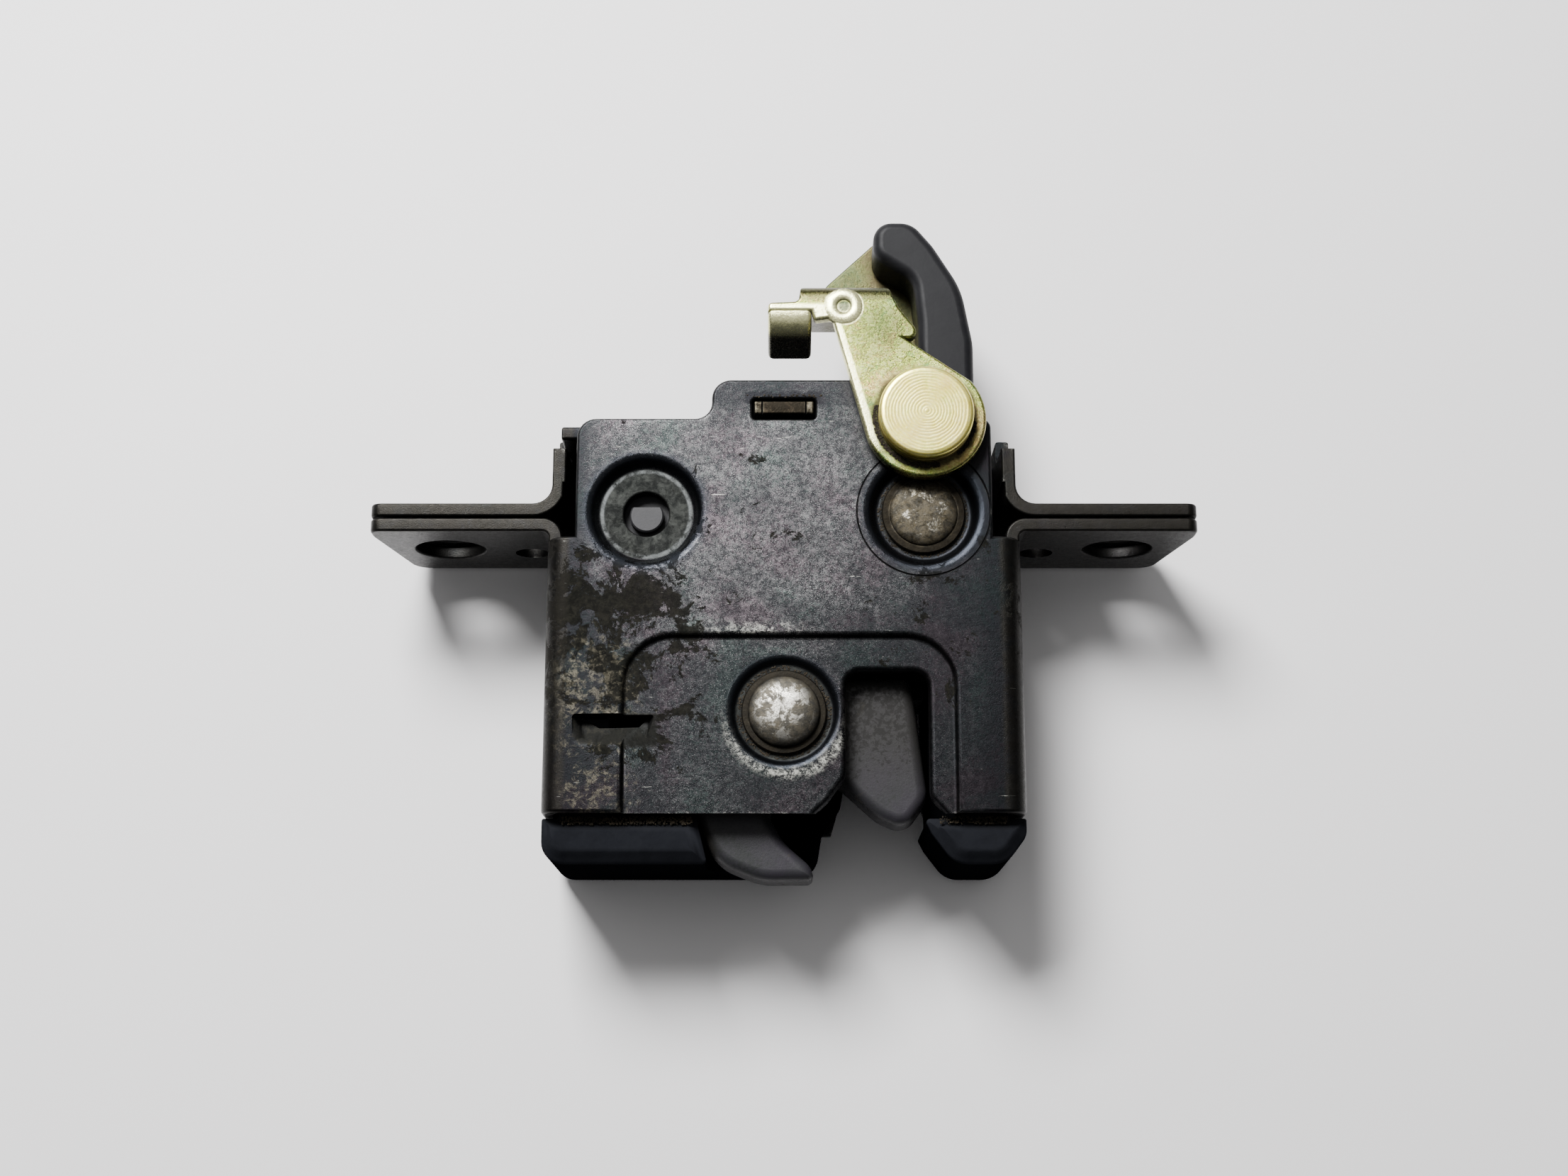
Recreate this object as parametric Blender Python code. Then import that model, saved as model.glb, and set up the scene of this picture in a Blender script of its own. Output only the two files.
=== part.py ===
"""Boot lock: a rotary latch in a folded steel case, with its release lever.

The lock lies on its back. X runs along the two bolt flanges, Y points away from the striker
mouth, Z points out of the front face. The origin is on the rear face of the back plate, on
the plane where the two flange sheets meet. Metres throughout.
"""
import math

import bmesh
import bpy
from mathutils import Matrix

# Clearances
GAP = 0.0003
FLANGE_GAP = 0.0002
BEARING_GAP = 0.0003
LEVER_GAP = 0.0002

# Case sheets
SHEET = 0.0018
CASE_DEPTH = 0.024
CASE_HALF_WIDTH = 0.0305
FACE_HALF_WIDTH = 0.0269
CASE_BOTTOM = -0.0387
RELIEF_Y = -0.0030
SHOULDER_Y = 0.0129
TAB_TOP_Y = 0.0182
TAB_LEFT_X = -0.0094
TAB_RIGHT_X = 0.0243
FACE_BEND = 0.0026
EDGE_RADIUS = 0.0018

# Bolt flanges
FLANGE_END_X = 0.0538
FLANGE_REAR_Z = 0.0020
FLANGE_SETBACK = 0.0024
FLANGE_TAPER = 0.0032
FLANGE_CORNER = 0.0028
UPPER_BEND = 0.0043
LOWER_BEND = 0.0027
UPPER_WALL_TOP_Y = 0.0095
UPPER_STEP = 0.0080
BOLT_X = 0.0445
BOLT_HOLE_RADIUS = 0.0046
NUT_HOLE_RADIUS = 0.0034
PEG_X = 0.0338
PEG_HOLE_RADIUS = 0.0023
PEG_OFFSET_Z = 0.0017

# Striker slot and the round bar that enters it
STRIKER_RADIUS = 0.00425
SLOT_LEFT_X = 0.0079
SLOT_RIGHT_X = 0.0184
SLOT_TOP_Y = -0.0206
SLOT_CORNER = 0.0018
SLOT_FLARE_Y = -0.0352
SLOT_FLARE = 0.0022

# Pivots in the XY plane
FORK_PIVOT = (0.0, -0.0258)
PAWL_PIVOT = (0.0180, 0.0003)
LEVER_PIVOT = (0.0182, 0.0120)
SPACER_PLACE = (-0.0178, 0.0003)

# Pressed seats round the pivots
SEAT_DEPTH = 0.0015
SEAT_FLOOR_RADIUS = 0.0058
SEAT_MOUTH_RADIUS = 0.0075
REAR_SEAT_RADIUS = 0.0048
SEAT_WALL_LEAN = 0.0009

# Shallow panel pressed round the fork pivot
PANEL_DEPTH = 0.0007
PANEL_LEFT_X = -0.0202
PANEL_RIGHT_X = 0.0216
PANEL_TOP_Y = -0.0162
PANEL_CORNER = 0.0058
PANEL_LIP = 0.0010

# Lanced retainer in the face
LANCE_LEFT_X = -0.0256
LANCE_RIGHT_X = -0.0166
LANCE_TOP_Y = -0.0264
LANCE_HEIGHT = 0.0044
LANCE_DEPTH = 0.0013
LANCE_SLIT = 0.0014

# Staked lug of the back case in the slot of the front case
LUG_HALF_WIDTH = 0.0038
LUG_TOP_Y = 0.0151
LUG_STAKE = 0.0004
LUG_WINDOW_GAP = 0.0004

# Riveted pins
RIVET_SHANK_RADIUS = 0.0028
RIVET_HEAD_RADIUS = 0.0046
RIVET_COLLAR_RADIUS = 0.0054
RIVET_COLLAR = 0.0006
RIVET_DOME = 0.0020
RIVET_FOOT_RADIUS = 0.0044
RIVET_FOOT = 0.0009
FORK_JOURNAL_RADIUS = 0.0038
PAWL_JOURNAL_RADIUS = 0.0033

# Fork
FORK_WASHER = 0.0006
FORK_THICKNESS = 0.0065
FORK_RIM_RADIUS = 0.0180
FORK_REACH = 0.0211
FORK_WAIST = 0.0125
FORK_EDGE = 0.0010
FORK_ROUND = 0.0080
CATCH_START = 44.0
CATCH_END = 118.0
CATCH_ROOT_RADIUS = 0.0098
STRIKER_SEAT_RADIUS = 0.0135
MOUTH_ANGLE = -75.0
MOUTH_OPENING = -61.0
MOUTH_CLEARANCE = 0.0003
FORK_BOSS_RADIUS = 0.0012
FORK_BOSS_REACH = 0.0100
FORK_BOSS_ANGLE = 150.0
FORK_BOSS_LENGTH = 0.0020

# Pawl
PAWL_WASHER = 0.0011
PAWL_THICKNESS = 0.0050
PAWL_HUB_RADIUS = 0.0052
PAWL_RIM_GAP = 0.0005
PAWL_NOSE_WIDTH = 0.0060
PAWL_NOSE_HEIGHT = 0.0050
PAWL_NOSE_ANGLE = 100.0
PAWL_TAIL_REACH = 0.0082
PAWL_TAIL_HALF_WIDTH = 0.0011

# Release lever, rear lever, horn and pin
LEVER_SHEET = 0.0018
LEVER_WASHER = 0.0005
LEVER_WASHER_RADIUS = 0.0070
LEVER_END_RADIUS = 0.0079
PIN_RADIUS = 0.0030
PIN_HEAD_RADIUS = 0.0061
PIN_HEAD_HEIGHT = 0.0028
PIN_HEAD_CHAMFER = 0.0004
RING_RADIUS = 0.0044
RING_THICKNESS = 0.0008
RING_GROOVE = 0.0006
REAR_LEVER_SHEET = 0.0020
REAR_HUB_RADIUS = 0.0052
REAR_REACH = 0.0300
PIP_RADIUS = 0.0012
PIP_OFFSET = (-0.0029, -0.0048)
PIP_LENGTH = 0.0033
PIP_FOOT_RADIUS = 0.0017
HORN_SETBACK = 0.0023
HORN_EDGE = 0.0010
HORN_HALF_WIDTH = 0.0069
HORN_REACH = 0.0296
ARM_REACH = 0.0182
ARM_NECK = 0.0046
ARM_CORNER = 0.0007
DRIVER_TAB_LEFT = -0.0155
DRIVER_TAB_RIGHT = -0.0081
HOOK_LEFT = -0.0200
HOOK_RIGHT = -0.0149
HOOK_TOP = 0.0159
HOOK_BEND_Y = 0.0147
HOOK_BEND_RADIUS = 0.0032
HOOK_BEND_ANGLE = 70.0
HOOK_DROP = 0.0061
DIMPLE_OFFSET = (-0.0104, 0.0151)
DIMPLE_RADIUS = 0.0012
DIMPLE_RISE = 0.0002

# Springs and their spools
SPOOL_WALL = 0.0007
SPOOL_FLANGE = 0.0008
SPRING_WIRE = 0.0005
SPRING_CLEARANCE = 0.0003
SPRING_PITCH = 0.0017
FORK_SPRING = {"part_turn": 0.75, "arm_angle": 108.0, "hand": 1,
               "foot": 0.0055, "arm": 0.0105}
PAWL_SPRING = {"part_turn": 0.10, "arm_angle": 107.0, "hand": 1,
               "foot": 0.0086, "arm": 0.0085}
LEVER_SPRING = {"part_turn": 0.734, "arm_angle": 196.4, "hand": -1,
                "foot": 0.0135, "arm": 0.0076}
PAWL_TIP_REACH = 0.0024
WASHER_OVERHANG = 0.0020

# Striker guide
GUIDE_PAD_SETBACK = 0.0020
GUIDE_PAD_BOTTOM = -0.0447
GUIDE_TOP_Y = -0.0140
GUIDE_RAIL_X = 0.0221
GUIDE_PAD_CORNER = 0.0046
GUIDE_PAD_SHOULDER = 0.0024
GUIDE_PAD_CHAMFER = 0.00075
GUIDE_WELL_RADIUS = 0.0130
GUIDE_WELL_DEPTH = 0.0024
GUIDE_GROOVE = 0.0018
BUFFER_BOTTOM_Y = -0.0222
BUFFER_TOP_Y = -0.0172

# Spacer between the two case halves
SPACER_RADIUS = 0.0042
SPACER_TIP_RADIUS = 0.0022
SPACER_HOLE_RADIUS = 0.0026
SPACER_TIP_FLAT = 0.0011
SPACER_TIP_SETBACK = 0.0022

ROUND_STEPS = 28
CORNER_STEPS = 4

# Faces worked out from the sheets
FACE_TOP_Z = CASE_DEPTH
FACE_REAR_Z = CASE_DEPTH - SHEET
SEAT_FACE_Z = FACE_TOP_Z - SEAT_DEPTH
SEAT_INNER_Z = FACE_REAR_Z - SEAT_DEPTH
BACK_SEAT_Z = SEAT_DEPTH
BACK_INNER_Z = SHEET + SEAT_DEPTH
WALL_INNER_X = CASE_HALF_WIDTH - SHEET
LOWER_TOP_Y = FLANGE_GAP / 2
UPPER_BOTTOM_Y = LOWER_TOP_Y + FLANGE_GAP
FLANGE_FRONT_Z = CASE_DEPTH - FLANGE_SETBACK
BOLT_Z = CASE_DEPTH / 2
PEG_Z = BOLT_Z - PEG_OFFSET_Z
FORK_TOP_Z = SEAT_INNER_Z - GAP - FORK_WASHER - GAP
FORK_REAR_Z = FORK_TOP_Z - FORK_THICKNESS
PAWL_TOP_Z = SEAT_INNER_Z - GAP - PAWL_WASHER - GAP
PAWL_REAR_Z = PAWL_TOP_Z - PAWL_THICKNESS
REAR_LEVER_TOP_Z = PAWL_REAR_Z - GAP
REAR_LEVER_REAR_Z = REAR_LEVER_TOP_Z - REAR_LEVER_SHEET
GUIDE_BASE_TOP_Z = FORK_REAR_Z - GAP
GUIDE_PAD_TOP_Z = CASE_DEPTH - GUIDE_PAD_SETBACK
HORN_TOP_Z = CASE_DEPTH - HORN_SETBACK
SPACER_TIP_TOP_Z = CASE_DEPTH - SPACER_TIP_SETBACK
ARM_REAR_Z = FACE_TOP_Z + LEVER_GAP + LEVER_WASHER + LEVER_GAP
ARM_TOP_Z = ARM_REAR_Z + LEVER_SHEET
HOOK_FLAP_REAR_Z = ARM_TOP_Z - HOOK_DROP


def material(name, colour, roughness, metallic):
    """Principled material with one colour, roughness and metallic value."""
    made = bpy.data.materials.new(name)
    made.use_nodes = True
    shader = made.node_tree.nodes["Principled BSDF"]
    shader.inputs["Base Color"].default_value = (*colour, 1.0)
    shader.inputs["Roughness"].default_value = roughness
    shader.inputs["Metallic"].default_value = metallic
    return made


def polar(radius, angle, centre=(0.0, 0.0)):
    """Point at a radius and an angle in degrees round a centre."""
    turn = math.radians(angle)
    return (centre[0] + radius * math.cos(turn), centre[1] + radius * math.sin(turn))


def arc(centre, radius, start, end, steps=8):
    """Points along an arc, angles in degrees."""
    return [polar(radius, start + (end - start) * i / steps, centre) for i in range(steps + 1)]


def rounded(corners, steps=CORNER_STEPS):
    """Outline through corners (x, y, radius), each rounded by its own radius."""
    points = []
    count = len(corners)
    for i, (x, y, radius) in enumerate(corners):
        if radius <= 0:
            points.append((x, y))
            continue
        before = corners[i - 1]
        after = corners[(i + 1) % count]
        to_before = (before[0] - x, before[1] - y)
        to_after = (after[0] - x, after[1] - y)
        length_before = math.hypot(*to_before)
        length_after = math.hypot(*to_after)
        to_before = (to_before[0] / length_before, to_before[1] / length_before)
        to_after = (to_after[0] / length_after, to_after[1] / length_after)
        cosine = to_before[0] * to_after[0] + to_before[1] * to_after[1]
        half = math.acos(max(-1.0, min(1.0, cosine))) / 2
        run = min(radius / math.tan(half), 0.49 * length_before, 0.49 * length_after)
        fitted = run * math.tan(half)
        bisector = (to_before[0] + to_after[0], to_before[1] + to_after[1])
        size = math.hypot(*bisector)
        distance = fitted / math.sin(half)
        centre = (x + bisector[0] / size * distance, y + bisector[1] / size * distance)
        start = math.atan2(y + to_before[1] * run - centre[1], x + to_before[0] * run - centre[0])
        end = math.atan2(y + to_after[1] * run - centre[1], x + to_after[0] * run - centre[0])
        sweep = (end - start + math.pi) % (2 * math.pi) - math.pi
        for step in range(steps + 1):
            angle = start + sweep * step / steps
            points.append((centre[0] + fitted * math.cos(angle), centre[1] + fitted * math.sin(angle)))
    return points


def box_outline(left, bottom, right, top, radius=0.0):
    """Rectangle with rounded corners."""
    return rounded([(left, bottom, radius), (right, bottom, radius),
                    (right, top, radius), (left, top, radius)])


def mirrored(outline):
    """The same outline on the other side of the YZ plane."""
    return [(-x, y) for x, y in reversed(outline)]


def new_object(name, bm):
    """Object from a bmesh, with its faces turned outwards."""
    bmesh.ops.recalc_face_normals(bm, faces=bm.faces)
    mesh = bpy.data.meshes.new(name)
    bm.to_mesh(mesh)
    bm.free()
    piece = bpy.data.objects.new(name, mesh)
    bpy.context.scene.collection.objects.link(piece)
    return piece


def prism(name, outline, low, high, axis="Z"):
    """Outline extruded along an axis; X takes (y, z) points, Y takes (x, z), Z takes (x, y)."""
    place = {"X": lambda u, v, w: (w, u, v),
             "Y": lambda u, v, w: (u, w, v),
             "Z": lambda u, v, w: (u, v, w)}[axis]
    bm = bmesh.new()
    base = bm.faces.new([bm.verts.new(place(u, v, low)) for u, v in outline])
    lifted = bmesh.ops.extrude_face_region(bm, geom=[base])
    moved = [item for item in lifted["geom"] if isinstance(item, bmesh.types.BMVert)]
    bmesh.ops.translate(bm, verts=moved, vec=place(0.0, 0.0, high - low))
    return new_object(name, bm)


def turned(name, profile, centre, steps=ROUND_STEPS, ring=False):
    """Profile of (radius, z) points, bottom to top, turned round an upright axis."""
    bm = bmesh.new()
    corners = [bm.verts.new((radius, 0.0, z)) for radius, z in profile]
    pairs = list(zip(corners, corners[1:]))
    if ring:
        pairs.append((corners[-1], corners[0]))
    edges = [bm.edges.new(pair) for pair in pairs]
    bmesh.ops.spin(bm, geom=corners + edges, cent=(0, 0, 0), axis=(0, 0, 1),
                   angle=2 * math.pi, steps=steps, use_merge=True)
    bmesh.ops.remove_doubles(bm, verts=bm.verts, dist=1e-6)
    bmesh.ops.holes_fill(bm, edges=[edge for edge in bm.edges if edge.is_boundary], sides=0)
    bmesh.ops.translate(bm, verts=bm.verts, vec=(centre[0], centre[1], 0.0))
    return new_object(name, bm)


def column(name, radius, low, high, centre, steps=ROUND_STEPS):
    """Plain upright cylinder."""
    return turned(name, [(radius, low), (radius, high)], centre, steps)


def pipe(name, inner, outer, low, high, centre, steps=ROUND_STEPS):
    """Plain upright ring or tube."""
    return turned(name, [(inner, low), (outer, low), (outer, high), (inner, high)], centre, steps, True)


def apply_modifiers(piece):
    """Replace the mesh by its evaluated shape."""
    evaluated = piece.evaluated_get(bpy.context.evaluated_depsgraph_get())
    finished = bpy.data.meshes.new_from_object(evaluated)
    piece.modifiers.clear()
    piece.data = finished


def combine(piece, tools, operation):
    """Join or cut a piece with tools, which are used up."""
    for tool in tools:
        step = piece.modifiers.new("Combine", "BOOLEAN")
        step.operation = operation
        step.solver = "EXACT"
        step.object = tool
        apply_modifiers(piece)
        bpy.data.objects.remove(tool)
    return piece


def join(piece, *tools):
    return combine(piece, tools, "UNION")


def cut(piece, *tools):
    return combine(piece, tools, "DIFFERENCE")


def soften(piece, width, angle=50.0):
    """Round the sharp edges of a moulded or pressed piece."""
    step = piece.modifiers.new("Soften", "BEVEL")
    step.width = width
    step.segments = 2
    step.limit_method = "ANGLE"
    step.angle_limit = math.radians(angle)
    apply_modifiers(piece)
    return piece


def chamfer_rim(piece, height, width):
    """Chamfer the rim of the top face of a plain extruded piece."""
    bm = bmesh.new()
    bm.from_mesh(piece.data)
    rim = [edge for edge in bm.edges if all(abs(vert.co.z - height) < GAP / 10 for vert in edge.verts)]
    bmesh.ops.bevel(bm, geom=rim, offset=width, segments=1, affect="EDGES", clamp_overlap=False)
    bm.to_mesh(piece.data)
    bm.free()


def finish(piece, name, look, pivot=None):
    """Name a piece, give it its look and put its origin on its pivot."""
    piece.name = name
    piece.data.name = name
    piece.data.materials.clear()
    piece.data.materials.append(look)
    piece.data.shade_smooth()
    piece.data.set_sharp_from_angle(angle=math.radians(35))
    if pivot:
        piece.data.transform(Matrix.Translation((-pivot[0], -pivot[1], 0.0)))
        piece.location = (pivot[0], pivot[1], 0.0)
    return piece


def pressed_seat(sheet, centre, outside, direction, floor, mouth):
    """Press a round seat: a boss on the inner face and a pocket in the outer one."""
    inner_face = outside + direction * SHEET
    boss = turned("Boss", [(mouth + SEAT_WALL_LEAN, inner_face - direction * SHEET / 2),
                           (mouth + SEAT_WALL_LEAN, inner_face),
                           (floor + SEAT_WALL_LEAN, inner_face + direction * SEAT_DEPTH)], centre)
    pocket = turned("Pocket", [(mouth, outside - direction * SHEET), (mouth, outside),
                               (floor, outside + direction * SEAT_DEPTH)], centre)
    join(sheet, boss)
    return cut(sheet, pocket)


def slot_outline(grow=0.0):
    """Striker slot, open downwards, with its flared right side."""
    below = CASE_BOTTOM - SHEET
    flare_end = (SLOT_RIGHT_X + SLOT_FLARE + grow, below)
    return rounded([(SLOT_LEFT_X - grow - SLOT_FLARE, below, 0.0),
                    flare_end + (0.0,),
                    (SLOT_RIGHT_X + grow, SLOT_FLARE_Y, SLOT_CORNER),
                    (SLOT_RIGHT_X + grow, SLOT_TOP_Y + grow, SLOT_CORNER),
                    (SLOT_LEFT_X - grow, SLOT_TOP_Y + grow, SLOT_CORNER),
                    (SLOT_LEFT_X - grow, SLOT_FLARE_Y + SLOT_FLARE, SLOT_CORNER)])


def flange_plate_outline():
    """Right flange seen from above, as (x, z) points, long enough to reach into its bend."""
    return rounded([(CASE_HALF_WIDTH - SHEET, FLANGE_REAR_Z, 0.0),
                    (FLANGE_END_X - FLANGE_TAPER, FLANGE_REAR_Z, FLANGE_CORNER),
                    (FLANGE_END_X, FLANGE_FRONT_Z - FLANGE_TAPER, FLANGE_CORNER),
                    (FLANGE_END_X, FLANGE_FRONT_Z, FLANGE_CORNER / 2),
                    (CASE_HALF_WIDTH - SHEET, FLANGE_FRONT_Z, 0.0)])


def flange_bend(direction, outer_radius, level, wall_end, wall_outer_x):
    """Folded strip in (x, y): the flange at one level, its bend, and the wall beyond it."""
    inner_radius = outer_radius - SHEET
    wall_inner_x = wall_outer_x - SHEET
    far = FLANGE_END_X + SHEET
    top = level
    bottom = level + direction * SHEET
    centre = (wall_inner_x + outer_radius, level + direction * outer_radius)
    start = -90.0 * direction
    outer = arc(centre, outer_radius, start, start - 90.0 * direction, 6)
    inner = arc(centre, inner_radius, start - 90.0 * direction, start, 5)
    wall = [(wall_inner_x, wall_end), (wall_outer_x, wall_end)]
    return [(far, top)] + outer + wall + inner + [(far, bottom)]


def side(outline, sign):
    """Outline for the right side as drawn, mirrored for the left."""
    return outline if sign > 0 else mirrored(outline)


def flange_sheet(name, direction, radius, level, wall_end, wall_x, hole_radius, sign):
    """One folded flange with its wall, trimmed to the flange outline and drilled."""
    profile = flange_bend(direction, radius, level, wall_end, wall_x)
    strip = prism(name, side(profile, sign), FLANGE_REAR_Z, FLANGE_FRONT_Z)
    low = min(level, level + direction * SHEET, wall_end) - SHEET
    high = max(level, level + direction * SHEET, wall_end) + SHEET
    trim = prism("Trim", side(flange_plate_outline(), sign), low, high, "Y")
    combine(strip, [trim], "INTERSECT")
    drill_low = min(level, level + direction * SHEET) - GAP
    drill_high = max(level, level + direction * SHEET) + GAP
    bolt = arc((sign * BOLT_X, BOLT_Z), hole_radius, 0.0, 345.0, 23)
    peg = arc((sign * PEG_X, PEG_Z), PEG_HOLE_RADIUS, 0.0, 337.5, 15)
    return cut(strip, prism("Bolt hole", bolt, drill_low, drill_high, "Y"),
               prism("Peg hole", peg, drill_low, drill_high, "Y"))


def panel_outline(bottom, grow):
    """Shallow panel round the fork pivot, open at the case's lower edge."""
    left = PANEL_LEFT_X - grow
    right = PANEL_RIGHT_X + grow
    top = PANEL_TOP_Y + grow
    return rounded([(left, bottom, 0.0), (right, bottom, 0.0),
                    (right, top, PANEL_CORNER), (left, top, PANEL_CORNER)], 6)


def front_case(look):
    """Face, folded side walls and lower flange sheets, stamped from one sheet."""
    outer = rounded([(-CASE_HALF_WIDTH, GAP, 0.0), (CASE_HALF_WIDTH, GAP, 0.0),
                     (CASE_HALF_WIDTH, FACE_TOP_Z, FACE_BEND),
                     (-CASE_HALF_WIDTH, FACE_TOP_Z, FACE_BEND)], 6)
    inner = rounded([(-WALL_INNER_X, -SHEET, 0.0), (WALL_INNER_X, -SHEET, 0.0),
                     (WALL_INNER_X, FACE_REAR_Z, FACE_BEND - SHEET),
                     (-WALL_INNER_X, FACE_REAR_Z, FACE_BEND - SHEET)])
    case = prism("Front case", outer, CASE_BOTTOM, RELIEF_Y, "Y")
    cut(case, prism("Channel", inner, CASE_BOTTOM - SHEET, RELIEF_Y + SHEET, "Y"))

    corners = rounded([(-CASE_HALF_WIDTH, CASE_BOTTOM, EDGE_RADIUS),
                       (CASE_HALF_WIDTH, CASE_BOTTOM, EDGE_RADIUS),
                       (CASE_HALF_WIDTH, SHEET, 0.0), (-CASE_HALF_WIDTH, SHEET, 0.0)])
    combine(case, [prism("Corners", corners, -SHEET, FACE_TOP_Z + SHEET)], "INTERSECT")

    upper = rounded([(-FACE_HALF_WIDTH, 2 * RELIEF_Y, 0.0), (FACE_HALF_WIDTH, 2 * RELIEF_Y, 0.0),
                     (FACE_HALF_WIDTH, SHOULDER_Y, EDGE_RADIUS), (TAB_RIGHT_X, SHOULDER_Y, 0.0),
                     (TAB_RIGHT_X, TAB_TOP_Y, 2 * EDGE_RADIUS), (TAB_LEFT_X, TAB_TOP_Y, EDGE_RADIUS * 1.4),
                     (TAB_LEFT_X, SHOULDER_Y, EDGE_RADIUS * 1.2),
                     (-FACE_HALF_WIDTH, SHOULDER_Y, EDGE_RADIUS * 1.4)])
    join(case, prism("Upper face", upper, FACE_REAR_Z, FACE_TOP_Z))

    wall_end = RELIEF_Y + SHEET - UPPER_BEND
    for sign in (1, -1):
        flange = flange_sheet("Lower flange", -1, LOWER_BEND, LOWER_TOP_Y, wall_end,
                              CASE_HALF_WIDTH, BOLT_HOLE_RADIUS, sign)
        join(case, flange)

    join(case, prism("Panel boss", panel_outline(CASE_BOTTOM, PANEL_LIP),
                     FACE_REAR_Z - PANEL_DEPTH, FACE_REAR_Z + SHEET / 2))
    cut(case, prism("Panel", panel_outline(CASE_BOTTOM - SHEET, 0.0),
                    FACE_TOP_Z - PANEL_DEPTH, FACE_TOP_Z + SHEET))

    for centre in (FORK_PIVOT, PAWL_PIVOT, SPACER_PLACE):
        pressed_seat(case, centre, FACE_TOP_Z, -1, SEAT_FLOOR_RADIUS, SEAT_MOUTH_RADIUS)

    slit_low = LANCE_TOP_Y - LANCE_SLIT
    ramp = [(LANCE_TOP_Y - LANCE_HEIGHT, FACE_TOP_Z), (slit_low, FACE_TOP_Z - LANCE_DEPTH),
            (LANCE_TOP_Y, FACE_TOP_Z - LANCE_DEPTH), (LANCE_TOP_Y, FACE_TOP_Z + SHEET),
            (LANCE_TOP_Y - LANCE_HEIGHT, FACE_TOP_Z + SHEET)]
    slit = box_outline(LANCE_LEFT_X, slit_low, LANCE_RIGHT_X, LANCE_TOP_Y)
    cut(case, prism("Lance", ramp, LANCE_LEFT_X, LANCE_RIGHT_X, "X"),
        prism("Lance slit", slit, FACE_REAR_Z - SHEET, FACE_TOP_Z + SHEET))

    window = box_outline(-LUG_HALF_WIDTH - LUG_WINDOW_GAP, LUG_TOP_Y - SHEET - LUG_WINDOW_GAP,
                         LUG_HALF_WIDTH + LUG_WINDOW_GAP, LUG_TOP_Y + LUG_WINDOW_GAP)
    below = FACE_REAR_Z - 2 * SHEET
    above = FACE_TOP_Z + SHEET
    cut(case, prism("Slot", slot_outline(), below, above), prism("Window", window, below, above),
        column("Fork pin hole", RIVET_SHANK_RADIUS + GAP, below, above, FORK_PIVOT),
        column("Pawl pin hole", RIVET_SHANK_RADIUS + GAP, below, above, PAWL_PIVOT),
        column("Spacer hole", SPACER_HOLE_RADIUS, below, above, SPACER_PLACE),
        column("Lever pin hole", PIN_RADIUS + BEARING_GAP, below, above, LEVER_PIVOT))
    return finish(case, "front_case", look)


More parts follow.
